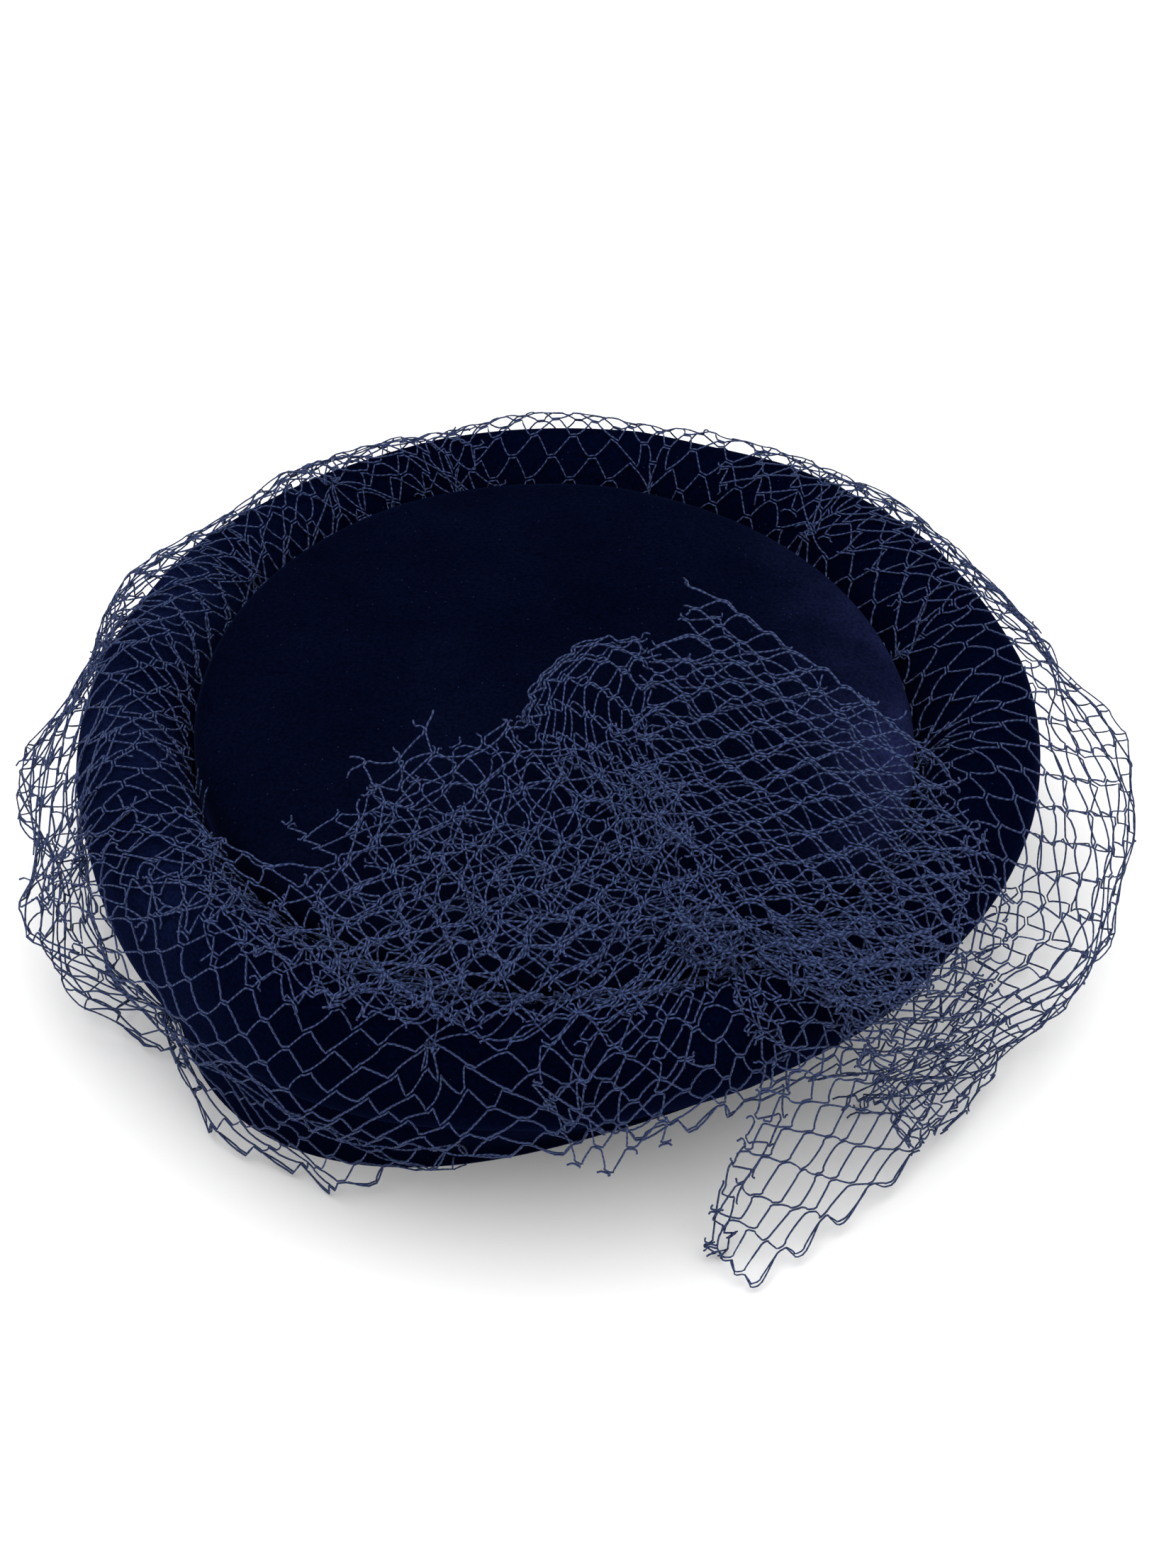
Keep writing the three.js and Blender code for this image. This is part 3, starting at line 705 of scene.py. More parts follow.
# the veil: crest, belly and foot are shares of puff off the brim at its widest, half way down
# and where it turns in, edge is how high that is as a share of the brim's height, and tuck how
# far the free edge comes back under towards the hem. cut is the share of the way down that is
# left of the net, which is cut away below the bow.
veil = {
    "knotAngle": 290.5,
    "columns": 72,
    "rows": 27,
    "rollRows": 8,
    "hangRows": 14,
    "grooveRow": 11.5,  # of the brim's section, where the veil starts
    "hemRow": 0.5,  # where its hanging part ends
    "standOff": 1.2,
    "puff": 56,
    "shape": rowsOf(
        "angle crest belly foot edge tuck cut",
        (0, 0.17, 0.38, 0.72, 0.12, 0.8, 1),
        (18, 0.14, 0.26, 0.5, 0.2, 0.7, 1),
        (34, 0.1, 0.12, 0.26, 0.26, 0.5, 1),
        (60, 0.12, 0.06, 0.1, 0.36, 0.3, 1),
        (74, 0.04, 0.06, 0.1, 0.38, 0.3, 1),
        (92, 0.19, 0.06, 0.12, 0.38, 0.3, 1),
        (108, 0.04, 0.06, 0.1, 0.36, 0.3, 1),
        (126, 0.18, 0.07, 0.1, 0.34, 0.4, 1),
        (142, 0.04, 0.07, 0.12, 0.3, 0.5, 1),
        (158, 0.19, 0.15, 0.14, 0.28, 0.8, 1),
        (167, 0.04, 0.1, 0.2, 0.26, 0.8, 1),
        (179, 0.12, 0.26, 0.3, 0.22, 0.9, 1),
        (188, 0.05, 0.2, 0.28, 0.2, 0.9, 1),
        (197, 0.05, 0.3, 0.3, 0.12, 0.9, 1),
        (209, 0.02, 0.06, 0.05, 0.08, 0.3, 1),
        (224, 0.03, 0.05, 0.05, 0.04, 0.05, 1),
        (245, 0.03, 0.05, 0.13, 0.03, 0.0, 1),
        (257, 0.03, 0.05, 0.1, 0.03, 0.0, 0.9),
        (267, 0.02, 0.05, 0.06, 0.03, 0.0, 0.35),
        (285, 0.02, 0.05, 0.05, 0.03, 0.0, 0.25),
        (298, 0.02, 0.06, 0.12, 0.03, 0.0, 0.3),
        (309, 0.03, 0.1, 0.3, 0.04, 0.2, 0.5),
        (322, 0.05, 0.18, 0.5, 0.05, 0.6, 1),
        (342, 0.12, 0.36, 0.72, 0.08, 0.8, 1),
        (360, 0.17, 0.38, 0.72, 0.12, 0.8, 1),
    ),
    # The net lies on the bias in the swag at the front left: it leans by lean times the rows
    # squared over leanRows, in degrees, and its rows climb towards the bow. Both fade over fade
    # degrees.
    "swag": {
        "from": 196,
        "full": 238,
        "end": 268,
        "lean": 1.0,
        "leanRows": 24,
        "climb": 4.5,
        "climbFrom": 238,
        "climbEnd": 300,
        "fade": 15,
    },
    # the free edge turns under towards the hem oval, widened by outset, and down by share
    # towards height
    "tucked": {"outset": 4, "height": 2, "share": 0.7},
    # second layers where the net is folded back on the roll, between two angles
    "doubled": rowsOf(
        "from to rows first lean",
        (98, 194, 12, 0.5, 1.2),
        (20, 68, 9, 1.5, -1.5),
        (212, 254, 6, 1.0, 1.2),
    ),
    # stitches that draw the net together: where in degrees round the hat, on which row of the
    # brim's section and how far off it, over how many degrees they draw, and how many
    # millimetres of net round them are caught. Each draws over tackRows rows of the section.
    "tackRows": 2.6,
    "tackScatter": {"scale": 0.9, "seed": 4},
    "waves": {"height": 2.6, "size": 30, "seed": 11},
    "jostle": {"height": 1.5, "size": 22, "seed": 12},
    "doubledJostle": {"height": 1.8, "size": 26},
    "seed": 21,
    "doubledSeed": 31,
    "tacks": rowsOf(
        "angle row off width draw caught",
        (351, 11.4, 1.5, 11, 0.72, 7),
        (15, 11.2, 1.5, 10, 0.6, 6),
        (45, 10.6, 1.5, 10, 0.55, 7),
        (74, 10.8, 1.5, 9, 0.5, 6),
        (106, 11.2, 1.5, 10, 0.55, 6),
        (127, 9.6, 1.5, 9, 0.5, 7),
        (147, 10.8, 1.5, 9, 0.6, 7),
        (166, 7.5, 1.5, 9, 0.5, 7),
        (200, 5.6, 1.5, 9, 0.75, 10),
        (211, 2.2, 1.5, 10, 0.75, 10),
        (257, 7.3, 1.5, 5, 0.5, 6),
    ),
}


# share that rises smoothly from 0 to 1 as a value goes from low to high
def easeIn(value, low, high):
    share = np.clip((value - low) / (high - low), 0, 1)
    return share**2 * (3 - 2 * share)


# Point of the hanging net: the brim's outside wall at a level between its widest part and the
# free edge, moved outwards by a belly that swells half way down and a foot that grows with
# the square of the way down
def hangingPoint(angle, down, standOff, belly, foot, edge):
    levels = valuesOf(brim["section"], "level")[: brim["widestRow"] + 1]
    level = levels[-1] + (edge - levels[-1]) * down
    row = np.interp(level, levels, np.arange(len(levels)))
    wall = brimPoint(angle, row)
    reach = standOff + belly * np.sin(np.pi * np.minimum(down, 1)) + foot * down**2
    return wall + outwards(angle) * reach[..., None]


# point off the brim's outer skin, square to its section
def offBrim(angle, row, distance):
    near = 0.25
    three = np.stack([brimPoint(angle, row + k * near) for k in (-1, 0, 1)], axis=-2)
    turn, off = (np.repeat(value[..., None], 3, axis=-1) for value in (angle, distance))
    return offsetSections(three, turn, off)[..., 1, :]


# Veil surface: u counts periods round the hat from the knot, v the rows from the groove. The
# tacks draw the angle towards themselves, most at their own height. Past the hanging rows the
# free edge turns under towards the hem. Also says what is left of the net.
def veilPoint(u, v):
    angle = np.radians(veil["knotAngle"]) + u / veil["columns"] * tau
    roll, hanging, swag = veil["rollRows"], veil["hangRows"], veil["swag"]
    grooveRow, widestRow = veil["grooveRow"], brim["widestRow"]
    turned, row = np.degrees(angle) % 360, v
    leaning, climbing = (
        easeIn(turned, low, high) * (1 - easeIn(turned, end, end + swag["fade"]))
        for low, high, end in (
            (swag["from"], swag["full"], swag["end"]),
            (swag["climbFrom"], swag["end"], swag["climbEnd"]),
        )
    )
    lean = np.radians(swag["lean"]) * leaning
    angle = angle + lean * np.clip(v - roll, 0, None) ** 2 / swag["leanRows"]
    v = v - swag["climb"] * climbing * np.clip(v / roll, 0, 1)
    runRows = [grooveRow, widestRow, veil["hemRow"]]
    sectionRow = np.interp(v, [0, roll, roll + hanging], runRows)
    drawn = np.zeros_like(angle)
    for tack in veil["tacks"]:
        away = (angle - np.radians(tack["angle"]) + np.pi) % tau - np.pi
        x = away / np.radians(tack["width"])
        y = (sectionRow - tack["row"]) / veil["tackRows"]
        drawn -= away * tack["draw"] * np.exp(-0.5 * x**2 - y**2)
    angle = angle + drawn
    names = ("crest", "belly", "foot", "edge", "tuck", "cut")
    shape = {name: roundHat(veil["shape"], name, angle) for name in names}
    crest, belly, foot = (shape[name] * veil["puff"] for name in names[:3])
    standOff = np.full_like(angle, veil["standOff"])
    onRoll = np.clip(v / roll, 0, 1)
    rollRow = grooveRow + (widestRow - grooveRow) * onRoll
    over = offBrim(angle, rollRow, standOff + crest * onRoll**2)
    down = np.clip((v - roll) / hanging, 0, 1)
    hang = hangingPoint(angle, down, standOff + crest, belly, foot, shape["edge"])
    tuckedRows = veil["rows"] - 1 - roll - hanging
    under = np.clip((v - roll - hanging) / tuckedRows, 0, 1)
    tucked = veil["tucked"]
    hem = ovalPoint(hat["hemOval"], angle, -tucked["outset"])
    hang[..., :2] += (hem - hang[..., :2]) * (shape["tuck"] * under)[..., None]
    fall = (hang[..., 2] - tucked["height"]) * np.sin(np.pi / 2 * under)
    hang[..., 2] -= fall * tucked["share"]
    lastRow = roll + hanging + shape["tuck"] * tuckedRows
    keep = (down <= shape["cut"] + 0.01) & (row <= lastRow + 0.01)
    return np.where((v <= roll)[..., None], over, hang), keep


# Veil: its surface made uneven, drawn to the stitches and relaxed, and its strands. What the
# stitches catch is scattered about by less than a millimetre.
def makeVeil():
    leftU, rightU, v = netGrid(veil["columns"], veil["rows"])
    (left, keepLeft), (right, keepRight) = veilPoint(leftU, v), veilPoint(rightU, v)
    keep = keepLeft & keepRight
    pins = []
    scatter = veil["tackScatter"]
    random = np.random.default_rng(scatter["seed"])
    for tack in veil["tacks"]:
        angle, row, off = (np.array([float(tack[name])]) for name in ("angle", "row", "off"))
        spot = offBrim(np.radians(angle), row, off)[0]
        caught = [np.linalg.norm(side - spot, axis=-1) < tack["caught"] for side in (left, right)]
        sizes = [(mask.sum(), 3) for mask in caught]
        spots = [spot + random.normal(scale=scatter["scale"], size=size) for size in sizes]
        pins.append((*caught, spots))
    loose = np.clip((v - veil["rollRows"] + 2) / 6, 0.12, 1)[..., None]
    waves, jostle = veil["waves"], veil["jostle"]
    for places in (left, right):
        wave = unevenness(places, waves["size"], waves["seed"])[..., None]
        places += unit(places * [1, 1, 0]) * wave * waves["height"] * loose
        places += jostled(places, jostle["size"], jostle["seed"]) * jostle["height"] * loose
    left, right = relax(
        left, right, True, v == 0, steps=90, slack=0.65, home=0.012, pins=pins, keep=keep
    )
    return netStrands(left, right, True, veil["seed"], keep=keep, selvage=True)


# a second layer lies on the veil's own surface, its rows leaning by lean degrees each
def doubledStrands(strip, seed):
    span, jostle = strip["to"] - strip["from"], veil["doubledJostle"]
    columns = int(span / 360 * veil["columns"])
    leftU, rightU, v = netGrid(columns, strip["rows"])
    sides = []
    for u in (leftU, rightU):
        turned = strip["from"] + span * u / columns + strip["lean"] * v
        around = (turned - veil["knotAngle"]) / 360 * veil["columns"]
        places = veilPoint(around, strip["first"] + v)[0]
        sides.append(places + jostled(places, jostle["size"], seed) * jostle["height"])
    left, right = relax(*sides, False, v < 0, steps=30, slack=0.7)
    return netStrands(left, right, False, seed, stray=0.7)


parts = [makeVeil()]
firstSeed = veil["doubledSeed"]
parts += [doubledStrands(strip, firstSeed + k) for k, strip in enumerate(veil["doubled"])]
strands, normals = (np.concatenate([part[k] for part in parts]) for k in (0, 1))
points, faces, uv = tubeMesh(strands, normals, net["thread"] / 2)
veilPiece = addPiece("veil_net", points, faces, netThread, uv=uv)
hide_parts("veil")
declareNet(veilPiece, flatNet(veil["columns"], veil["rows"]), strands)
print("veil made")

# The bow. An outline gives a wing's edge from the knot as heading in degrees, and length and
# rise as shares of wingLength and wingRise. A flat is one layer of net over it: along turns the
# net, reach is its share of the outline, lift raises it and wave ripples it, squeeze draws the
# rows together, gather creases it, and a clean one has an even edge. A sheet lies on a table of
# points in millimetres, from the knot outwards: width is its flat width, along, shear, barTurn,
# stretch and squeeze turn and distort the lattice, give lets its sides stretch, crumple moves it
# about, hem cuts it along a row of meshes, and what reaches past its sides by the share fold is
# turned back over it. stray is the share of the length of cut ends in both.
knotLow, knotHigh = (np.array(corner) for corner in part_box("bow_knot"))
knotMiddle = ((knotLow + knotHigh) / 2 - hatMiddle) / mm
knotHalf = (knotHigh - knotLow) / 2 / mm
rightGathers = [
    [(40, -92, 86), (44, -89, 86), (48, -86, 86)],
    [(49, -102, 81), (63, -96, 80), (78, -84, 80)],
    [(60, -104, 71), (75, -96, 67), (95, -78, 63)],
    [(68, -102, 52), (87, -89, 41), (110, -62, 26)],
    [(76, -99, 32), (92, -86, 19), (110, -65, 10)],
    [(83, -96, 12), (88, -91, 9), (95, -84, 8)],
]
bow = {
    "wingLength": 97,
    "wingRise": 20,
    "knotEdge": 6.5,
    "rings": 10,
    "stripMeshes": 12,  # width of the strips of net that the wings and tails are cut from
    "leftWing": {
        "outline": rowsOf(
            "heading length rise",
            (204, 0.6, -0.2),
            (194, 0.88, -0.15),
            (176, 0.97, -0.05),
            (163, 1, 0.15),
            (150, 0.99, 0.35),
            (138, 0.87, 0.6),
            (126, 0.7, 0.75),
            (112, 0.5, 0.6),
            (92, 0.35, 0.5),
        ),
        "flats": rowsOf(
            "along reach lift wave squeeze gather stray clean selvage",
            (62, 1.0, 8, 1.6, 1.0, 0.8, 1.0, False, False),
            (84, 0.95, 5, 2.2, 1.0, 1.5, 0.35, False, False),
            (28, 0.9, 2, 2.0, 1.0, 1.5, 0.35, False, False),
            (100, 0.7, 10, 2.2, 0.9, 1.4, 0.35, False, False),
        ),
        "sheets": [
            {
                "width": 55,
                "along": 25,
                "fold": 0.1,
                "shear": 0.3,
                "squeeze": 0.9,
                "crumple": 1.8,
                "points": [
                    [(33, -76, 85), (32, -86, 85), (31, -99, 84)],
                    [(14, -66, 85), (14, -86, 85), (15, -111, 82)],
                    [(-11, -58, 85), (-10, -85, 85), (-10, -115, 80)],
                    [(-38, -53, 86), (-36, -82, 85), (-35, -110, 80)],
                    [(-63, -57, 85), (-57, -79, 85), (-52, -99, 82)],
                ],
            },
            {
                "width": 36,
                "along": 70,
                "fold": 0.12,
                "shear": -0.3,
                "squeeze": 0.8,
                "crumple": 1.6,
                "points": [
                    [(32, -79, 84), (31, -88, 84), (31, -99, 84)],
                    [(12, -81, 84), (12, -98, 84), (14, -112, 79)],
                    [(-16, -79, 84), (-15, -100, 84), (-13, -115, 77)],
                    [(-40, -76, 84), (-41, -95, 84), (-38, -110, 77)],
                    [(-67, -66, 84), (-64, -81, 81), (-60, -98, 79)],
                    [(-84, -55, 84), (-82, -68, 81), (-76, -85, 79)],
                ],
            },
            {
                "width": 30,
                "along": 80,
                "shear": -0.3,
                "squeeze": 0.7,
                "crumple": 1.2,
                "stray": 1.0,
                "points": [
                    [(-76, -55, 84), (-75, -68, 81), (-70, -84, 80)],
                    [(-92, -48, 83), (-94, -62, 78), (-88, -78, 74)],
                    [(-106, -45, 78), (-108, -56, 71), (-103, -70, 66)],
                    [(-124, -44, 62), (-124, -50, 58), (-118, -58, 56)],
                ],
            },
        ],
    },
    "rightWing": {
        "outline": rowsOf(
            "heading length rise",
            (112, 0.55, 0.7),
            (104, 0.62, 0.85),
            (98, 0.76, 0.95),
            (91.5, 1.02, 1),
            (84, 0.92, 1),
            (77, 0.87, 0.9),
            (62, 0.76, 0.75),
            (46, 0.77, 0.45),
            (35, 0.74, 0.2),
            (14, 0.62, -0.1),
            (-12, 0.5, -0.3),
            (-24, 0.42, -0.4),
        ),
        "flats": rowsOf(
            "along reach lift wave squeeze gather stray clean selvage",
            (-6, 1.0, 8, 0.8, 0.85, 0.0, 1.0, True, True),
            (-10, 1.0, 4, 1.2, 0.6, 0.6, 1.0, True, False),
            (-24, 0.96, 1, 1.2, 0.75, 0.6, 0.35, True, False),
        ),
        "sheets": [
            {
                "width": 38,
                "along": 50,
                "fold": 0.1,
                "shear": 0.2,
                "squeeze": 0.9,
                "crumple": 2.0,
                "points": [
                    [(36, -76, 85), (38, -86, 85), (39, -96, 84)],
                    [(55, -68, 85), (55, -86, 85), (53, -102, 79)],
                    [(71, -66, 85), (73, -82, 82), (69, -99, 71)],
                    [(88, -60, 82), (92, -74, 76), (88, -85, 64)],
                    [(100, -55, 80), (106, -62, 68), (106, -63, 51)],
                ],
            },
        ],
    },
    "leftTail": {
        "sheets": [
            {
                "width": 35,
                "along": 8,
                "stretch": 0.72,
                "squeeze": 1.5,
                "give": 1.45,
                "crumple": 0.5,
                "points": [
                    [(24, -93, 84), (30, -95, 84), (35, -94, 84)],
                    [(11, -104, 80), (24, -107, 81), (34, -105, 80)],
                    [(1, -116, 76), (18, -116, 73), (33, -113, 72)],
                    [(-3, -120, 64), (13, -120, 56), (31, -116, 57)],
                    [(-1, -121, 43), (11, -120, 36), (24, -118, 39)],
                ],
            },
            {
                "width": 19,
                "along": -15,
                "stretch": 1.1,
                "shear": 0.2,
                "squeeze": 1.4,
                "give": 1.4,
                "crumple": 1.5,
                "fold": 0.2,
                "points": [
                    [(19, -92, 85), (24, -95, 85), (29, -96, 85)],
                    [(5, -104, 82), (14, -107, 82), (22, -108, 82)],
                    [(-6, -114, 80), (4, -117, 78), (14, -118, 75)],
                    [(-5, -121, 69), (4, -122, 64), (14, -121, 59)],
                    [(-2, -122, 55), (5, -122, 49), (14, -121, 43)],
                ],
            },
        ],
    },
    "rightTail": {
        "sheets": [
            {
                "width": 58,
                "along": -24,
                "stretch": 0.87,
                "squeeze": 0.97,
                "shear": -0.19,
                "barTurn": 30,
                "crumple": 0.4,
                "give": 1.4,
                "stray": 0.4,
                "hem": 50,
                "selvage": True,
                "points": [
                    [(33, -91, 84), (38, -94, 84), (43, -94, 84), (50, -90, 84)],
                    [(39, -107, 78), (49, -104, 77), (63, -97, 76), (78, -86, 75)],
                    [(43, -112, 61), (57, -106, 59), (74, -95, 55), (94, -78, 47)],
                    [(41, -115, 40), (58, -108, 36), (74, -98, 32), (93, -82, 22)],
                    [(34, -119, 15), (50, -115, 12), (67, -107, 10), (86, -94, 7)],
                    [(30, -122, 1), (43, -127, 2), (60, -120, 1), (79, -108, 1)],
                ],
            },
            {
                "width": 50,
                "along": 20,
                "crumple": 1.8,
                "fold": 0.12,
                "stray": 0.15,
                "points": rightGathers,
            },
            {
                "width": 42,
                "along": 75,
                "crumple": 2.0,
                "fold": 0.12,
                "stray": 0.15,
                "points": rightGathers,
            },
            {
                "width": 11,
                "along": 55,
                "crumple": 1.0,
                "fold": 0.4,
                "points": [
                    [(37, -93, 83), (39, -95, 83), (40, -95, 83)],
                    [(39, -107, 76), (43, -106, 76), (48, -104, 76)],
                    [(43, -111, 59), (48, -109, 57), (52, -107, 58)],
                    [(40, -113, 37), (44, -112, 34), (49, -110, 32)],
                    [(33, -117, 14), (38, -115, 9), (43, -114, 9)],
                    [(31, -118, 3), (34, -119, 1), (39, -117, 1)],
                ],
            },
        ],
    },
    "backLoop": {
        "rays": rowsOf(
            "heading length rise",
            (124, 0.74, 0.6),
            (111, 0.88, 0.7),
            (98, 0.86, 0.75),
        ),
        "columns": 4,
        "rows": 22,
        "depth": 7,
        "start": 0.3,  # in radians of the half turn from the knot out and back
        "jostleSize": 22,
        "seed": 300,
    },
    # a strip wound round: pinch narrows its ends, first and growth are shares of the knot's
    # size under the first and added by the last turn, and reach is its share outwards
    "knot": {
        "columns": 5,
        "rows": 5,
        "turns": 2.0,
        "pinch": 0.8,
        "first": 0.78,
        "growth": 0.1,
        "reach": 0.9,
        "sag": 0.5,
        "stray": 0.5,
        "seed": 600,
    },
}

# how a flat layer is creased, waved, cut and moved about, in millimetres, by whether it is clean
layered = {
    "spread": 1.25,  # half the net's size before the cut, as a share of the wing's length
    "folds": 11,  # creases for each radian round the knot
    "foldsFrom": 30,  # where the creases have grown to their full height
    "waveSize": 34,
    "raggedSize": 25,
    "ragged": {False: 0.05, True: 0.0},
    "jostleSize": 18,
    "jostle": {False: [3.0, 3.0, 2.0], True: [0.8, 0.8, 0.8]},
    "scatter": {False: 0.3, True: 0.15},
    "underKnot": 9,
    "margin": 0.06,  # radians that it may pass the outline's ends by
}

# how a sheet is crumpled and held, in millimetres
crumpled = {
    "size": 17,
    "share": 0.8,
    "leastAtKnot": 0.2,
    "scatter": 0.2,
    "held": 0.05,  # share of its length that the knot holds
    "barsPerShear": 1.3,  # a sheared net turns its short sides
}


# heading in radians and length and rise in millimetres of the ray at a share of the way
# through a smooth table of rays
def rayAt(rays, share):
    at = np.clip(share, 0, 1) * (len(rays) - 1)
    heading, length, rise = (
        smoothRows(valuesOf(rays, name), at) for name in ("heading", "length", "rise")
    )
    return np.radians(heading), length * bow["wingLength"], rise * bow["wingRise"]


# point at a distance from the knot's middle along a heading, raised by a height
def fromKnot(heading, along, height):
    return knotMiddle + np.stack(
        [along * np.cos(heading), along * np.sin(heading), height + 0 * along], axis=-1
    )


# Flat layer of a wing: the net is turned about the knot and cut along the wing's outline. Its
# height is the outline's rise by the share of the way out, the layer's own lift, the creases
# that run out from the knot, and soft waves. keep says which short sides lie inside the cut.
def poufStrands(rays, layer, seed):
    random = np.random.default_rng(seed)
    across = 2 * layered["spread"] * bow["wingLength"]
    columns, rows = int(across / net["period"]) + 1, int(across / net["rowStep"]) + 1
    leftU, rightU, v = netGrid(columns, rows)
    headings = np.radians(valuesOf(rays, "heading"))
    headings, order = np.sort(headings), np.argsort(headings)
    table = {name: valuesOf(rays, name)[order] for name in ("length", "rise")}
    turn = np.radians(layer["along"])
    shift = random.uniform(-0.5, 0.5, 2)
    clean = layer["clean"]

    def place(u):
        x = (u - columns / 2 + shift[0]) * net["period"]
        y = (v - rows / 2 + shift[1]) * net["rowStep"] * layer["squeeze"]
        px, py = x * np.cos(turn) - y * np.sin(turn), x * np.sin(turn) + y * np.cos(turn)
        along = np.hypot(px, py)
        middle = (headings[0] + headings[-1]) / 2
        heading = middle + (np.arctan2(py, px) - middle + np.pi) % tau - np.pi
        fold = layered["folds"] * heading + seed
        grown = np.minimum(along / layered["foldsFrom"], 1) * layer["gather"]
        px = px - np.sin(heading) * grown * np.sin(2 * fold)
        py = py + np.cos(heading) * grown * np.sin(2 * fold)
        length = np.interp(heading, headings, table["length"]) * bow["wingLength"]
        rise = np.interp(heading, headings, table["rise"]) * bow["wingRise"]
        out = along / length
        lift = layer["lift"] * np.cos(np.pi / 2 * np.minimum(out, 1)) ** 0.5
        height = rise * np.minimum(out, 1.1) + lift + grown * np.cos(fold)
        point = knotMiddle + np.stack([px, py, height], axis=-1)
        wave = unevenness(point * [1, 1, 0], layered["waveSize"], seed + 3)
        point[..., 2] += layer["wave"] * wave
        margin = layered["margin"]
        inside = (heading > headings[0] - margin) & (heading < headings[-1] + margin)
        inside |= along < layered["underKnot"]
        return point, out, inside

    left, outLeft, inLeft = place(leftU)
    right, outRight, inRight = place(rightU)
    ragged = unevenness(left, layered["raggedSize"], seed + 5)
    edge = layer["reach"] + layered["ragged"][clean] * ragged
    keep = (outLeft < edge) & (outRight < edge) & inLeft & inRight
    near = np.clip(1 - (outLeft - edge) * 3, 0, 1)
    for places in (left, right):
        jostle = jostled(places, layered["jostleSize"], seed + 7)
        places += jostle * layered["jostle"][clean]
        places += random.normal(scale=layered["scatter"][clean], size=places.shape)
    left, right = relax(left, right, False, near <= 0, steps=12, slack=0.5, keep=keep)
    selvage, stray = layer["selvage"], layer["stray"]
    return netStrands(left, right, False, seed, keep=keep, selvage=selvage, stray=stray)


# Strands of a sheet of net on its table of points: the net is turned, sheared and drawn
# together on the flat sheet, what reaches past the sheet's sides by up to the share fold is
# turned back over it, and the sheet is crumpled. The end at the knot is held.
def sheetStrands(sheet, seed):
    random = np.random.default_rng(seed)
    table = np.array(sheet["points"], float)
    width = sheet["width"]
    runs = np.linalg.norm(np.diff(table, axis=0), axis=-1).mean(axis=1)
    rowsAt = np.append(0, np.cumsum(runs))
    length = rowsAt[-1]
    fold = sheet.get("fold", 0.0)
    reach = np.hypot(width * (1 + 2 * fold), length)
    period = net["period"] * sheet.get("stretch", 1.0)
    step = net["rowStep"] * sheet.get("squeeze", 1.0)
    shear = sheet.get("shear", 0.0)
    columns = int(reach * (1 + abs(shear)) / period) + 2
    rows = int(reach / step) + 2
    leftU, rightU, v = netGrid(columns, rows)
    turn = np.radians(sheet["along"])
    sheared = -np.degrees(np.arctan(crumpled["barsPerShear"] * shear))
    barTurn = np.radians(sheet.get("barTurn", sheared))
    shift = random.uniform(-0.5, 0.5, 2)

    def place(side):
        half = side * net["shortSide"] / 2
        y = (v - rows / 2 + shift[1]) * step
        x = ((leftU + rightU) / 2 - columns / 2 + shift[0]) * period + y * shear
        x, y = x + half * np.cos(barTurn), y + half * np.sin(barTurn)
        across = (x * np.cos(turn) - y * np.sin(turn)) / width + 0.5
        along = (x * np.sin(turn) + y * np.cos(turn)) / length + 0.5
        row = np.interp(along * length, rowsAt, np.arange(len(rowsAt)))
        folded = np.abs((across + 1) % 2 - 1)
        point = onTable(table, row, folded * (table.shape[1] - 1))
        loose = sheet["crumple"] * np.clip(3 * along, crumpled["leastAtKnot"], 1)[..., None]
        moved = loose * jostled(point, crumpled["size"], seed) * crumpled["share"]
        point = point + moved + random.normal(scale=crumpled["scatter"], size=point.shape)
        outside = np.maximum(np.abs(across - 0.5) - fold, np.abs(along - 0.5))
        inside = (outside < 0.5) & (y < sheet.get("hem", length))
        return point, inside, along < crumpled["held"]

    left, inLeft, heldLeft = place(-1)
    right, inRight, heldRight = place(1)
    keep = inLeft & inRight
    held = heldLeft | heldRight
    give = sheet.get("give", 1.0)
    left, right = relax(left, right, False, held, steps=20, slack=0.5, keep=keep, give=give)
    selvage, stray = sheet.get("selvage", False), sheet.get("stray", 0.35)
    return netStrands(left, right, False, seed, keep=keep, selvage=selvage, stray=stray)


# piece of the bow from the strands and normals of its layers, columns meshes wide when flat
def addNet(name, node, parts, columns):
    strands, normals = (np.concatenate([part[k] for part in parts]) for k in (0, 1))
    strands, normals = rounded(strands, normals, bow["rings"])
    points, faces, uv = tubeMesh(strands, normals, net["thread"] / 2)
    piece = addPiece(name, points, faces, netThread, uv=uv)
    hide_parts(node)
    rows = len(strands) / 2 / columns  # each mesh has two strands
    declareNet(piece, flatNet(columns, rows), strands)


for name, node, key, seed, restsOn in (
    ("bow_left_wing_net", "bow_left_wing", "leftWing", 100, ["crown_velvet_shell"]),
    ("bow_right_wing_net", "bow_right_wing", "rightWing", 200, ["crown_velvet_shell"]),
    ("bow_left_tail_net", "bow_left_tail", "leftTail", 400, ["veil_net"]),
    ("bow_right_tail_net", "bow_right_tail", "rightTail", 500, ["veil_net"]),
):
    piece = bow[key]
    flats = piece.get("flats", [])
    parts = [poufStrands(piece["outline"], flat, seed + 10 * k) for k, flat in enumerate(flats)]
    parts += [sheetStrands(sheet, seed + 70 + 5 * k) for k, sheet in enumerate(piece["sheets"])]
    addNet(name, node, parts, bow["stripMeshes"])


# loop: out from the knot and back under itself along one ray for each column
def loopPoint(u, v):
    loop = bow["backLoop"]
    heading, length, rise = rayAt(loop["rays"], u / loop["columns"])
    turn = loop["start"] + (np.pi - 2 * loop["start"]) * v / (loop["rows"] - 1)
    along = bow["knotEdge"] + (length - bow["knotEdge"]) * np.sin(turn)
    return fromKnot(heading, along, rise * np.sin(turn) + loop["depth"] / 2 * np.cos(turn))


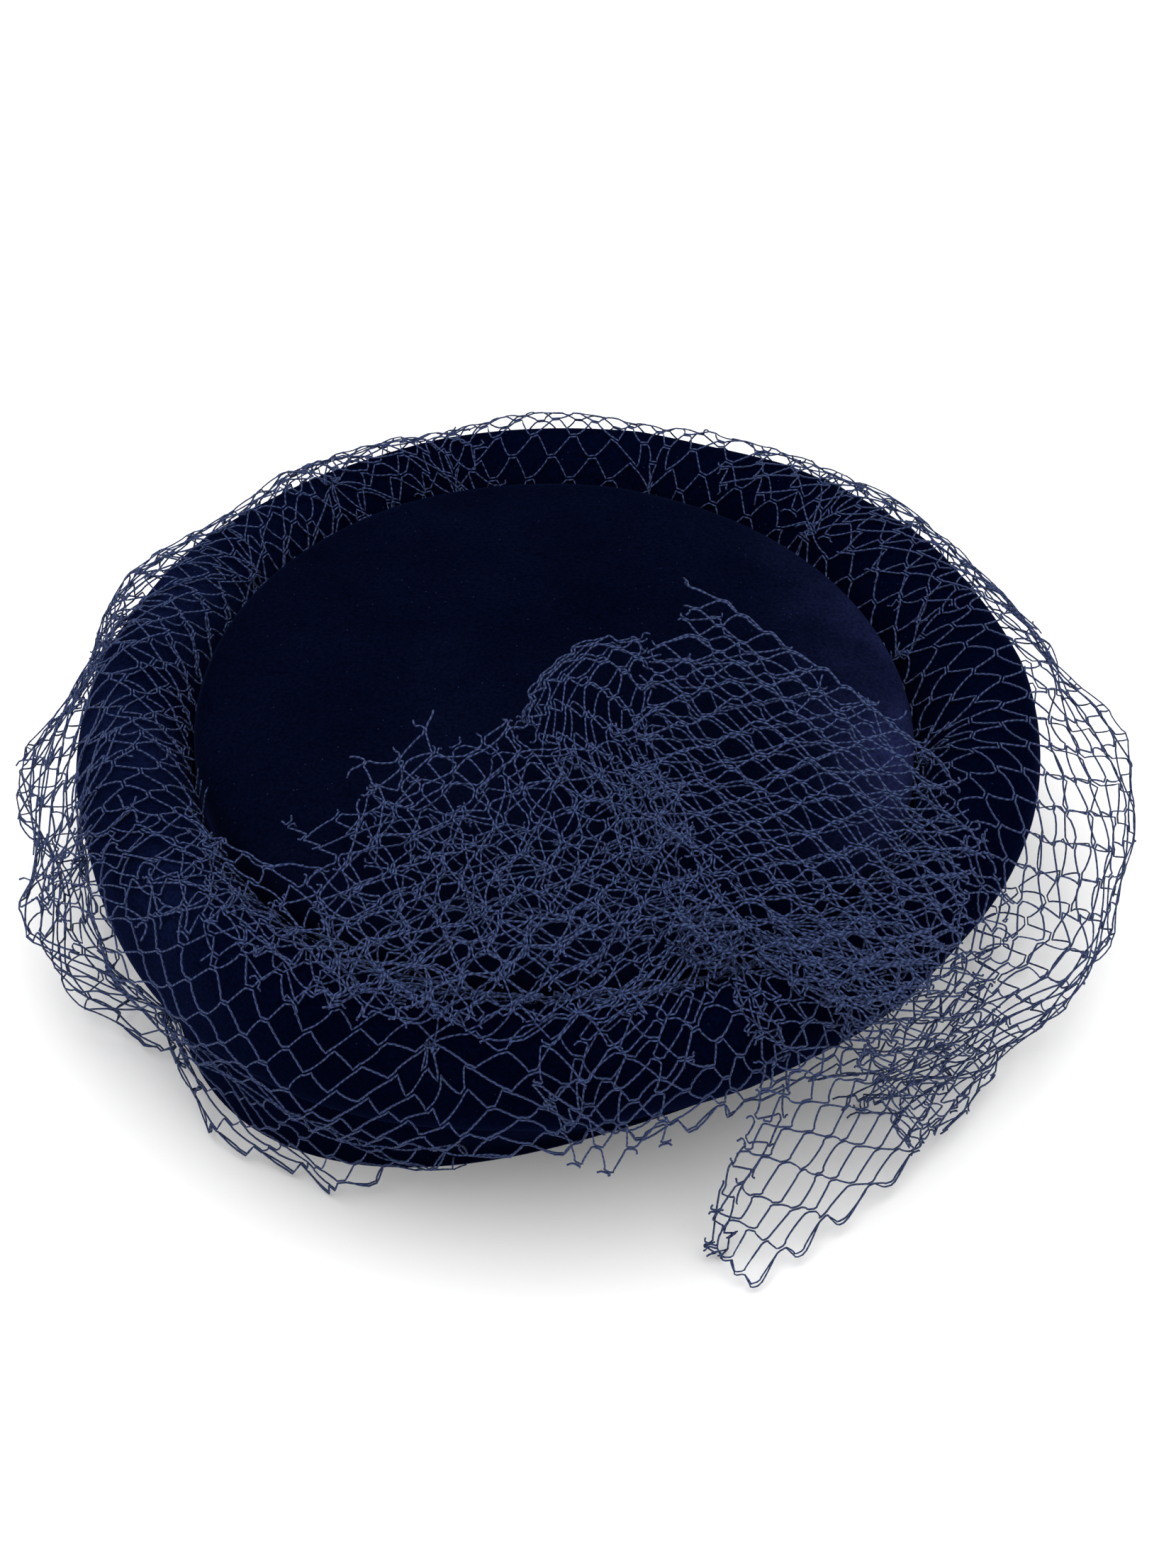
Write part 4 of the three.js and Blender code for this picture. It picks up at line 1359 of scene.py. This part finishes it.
# strands of the loop, its surface made uneven and relaxed
def makeLoop():
    loop = bow["backLoop"]
    leftU, rightU, v = netGrid(loop["columns"], loop["rows"])
    left, right = loopPoint(leftU, v), loopPoint(rightU, v)
    for places in (left, right):
        places += jostled(places, loop["jostleSize"], loop["seed"])
    left, right = relax(left, right, False, v == 0, steps=30, slack=0.6)
    return netStrands(left, right, False, loop["seed"])


loopParts, loopColumns = [makeLoop()], bow["backLoop"]["columns"]
addNet("bow_back_loop_net", "bow_back_loop", loopParts, loopColumns)


# Knot: a strip of net wound round it and drawn tight, on an ellipsoid that grows a little with
# each turn. u goes along the strip, round an axis that points outwards, and v across it.
def knotPoint(u, v):
    knot = bow["knot"]
    turn = u / knot["columns"] * tau * knot["turns"]
    across = (v / (knot["rows"] - 1) - 0.5) * 2
    size = knot["first"] + knot["growth"] * u / knot["columns"]
    swell = np.sqrt(1 - knot["pinch"] * across**2) * size
    around = np.radians(veil["knotAngle"])
    side = np.array([-np.sin(around), np.cos(around), 0.0]) * knotHalf[0]
    up = np.array([0.0, 0.0, 1.0]) * knotHalf[2]
    ring = np.cos(turn)[..., None] * side + np.sin(turn)[..., None] * up
    axis = outwards(around) * (across * knotHalf[1] * knot["reach"])[..., None]
    return knotMiddle + ring * swell[..., None] + axis


# strands of the knot, which is wound tight enough to need no relaxing
def makeKnot():
    knot = bow["knot"]
    leftU, rightU, v = netGrid(knot["columns"], knot["rows"])
    left, right, sag, stray = knotPoint(leftU, v), knotPoint(rightU, v), knot["sag"], knot["stray"]
    return netStrands(left, right, False, knot["seed"], bow=sag, stray=stray)


addNet("bow_knot_net", "bow_knot", [makeKnot()], bow["knot"]["columns"])
print("bow made")

room = {
    "floor": 6.0,  # metres
    "colour": "#f9f9f9",
    "sky": 0.66,
    "glow": 0.06,
    "key": {"place": (0.0, -0.2, 1.1), "aim": (0, 0, 0), "size": 1.1, "power": 12},
}
camera = {
    "aim": (7.0, 13.2, 30.0),  # from the hat's middle, in millimetres
    "distance": 628.4,
    "down": 43.5,  # degrees
    "focal": 3331,  # pixels
    "frame": (1659, 2212),  # pixels across and down
}


# pale floor that fades into a white sky
def makeRoom():
    mesh = bpy.data.meshes.new("floor")
    half = room["floor"] / 2
    corners = [(-half, -half, 0), (half, -half, 0), (half, half, 0), (-half, half, 0)]
    mesh.from_pydata(corners, [], [(0, 1, 2, 3)])
    pale = linear(room["colour"])
    matt = {"Roughness": 1.0, "Specular IOR Level": 0.0, "Base Color": pale}
    glow = {"Emission Color": pale, "Emission Strength": room["glow"]}
    mesh.materials.append(newMaterial("white paper sweep", matt | glow)[0])
    floor = bpy.data.objects.new("floor", mesh)
    bpy.context.scene.collection.objects.link(floor)
    world = bpy.data.worlds.new("studio")
    bpy.context.scene.world = world
    world.use_nodes = True
    background = world.node_tree.nodes["Background"]
    background.inputs["Color"].default_value = (1, 1, 1, 1)
    background.inputs["Strength"].default_value = room["sky"]


# soft square light that faces what it aims at
def addLight(name, place, aim, size, power):
    light = bpy.data.lights.new(name, "AREA")
    light.size, light.energy = size, power
    lamp = bpy.data.objects.new(name, light)
    lamp.location = place
    lamp.rotation_euler = (Vector(aim) - Vector(place)).to_track_quat("-Z", "Y").to_euler()
    bpy.context.scene.collection.objects.link(lamp)


# camera that looks down at the photo's angle, with the photo's focal length for its height
def makeCamera():
    data = bpy.data.cameras.new("camera")
    data.lens = camera["focal"] / camera["frame"][1] * data.sensor_width
    data.clip_end = 20
    eye = bpy.data.objects.new("camera", data)
    down = np.radians(camera["down"])
    back = np.array([0, -np.cos(down), np.sin(down)]) * camera["distance"]
    eye.location = (np.array(camera["aim"]) + back) * mm + hatMiddle
    eye.rotation_euler = (np.pi / 2 - down, 0, 0)
    bpy.context.scene.collection.objects.link(eye)
    bpy.context.scene.camera = eye


makeRoom()
addLight("key", **room["key"])
makeCamera()
bpy.context.scene.view_settings.view_transform = "Standard"
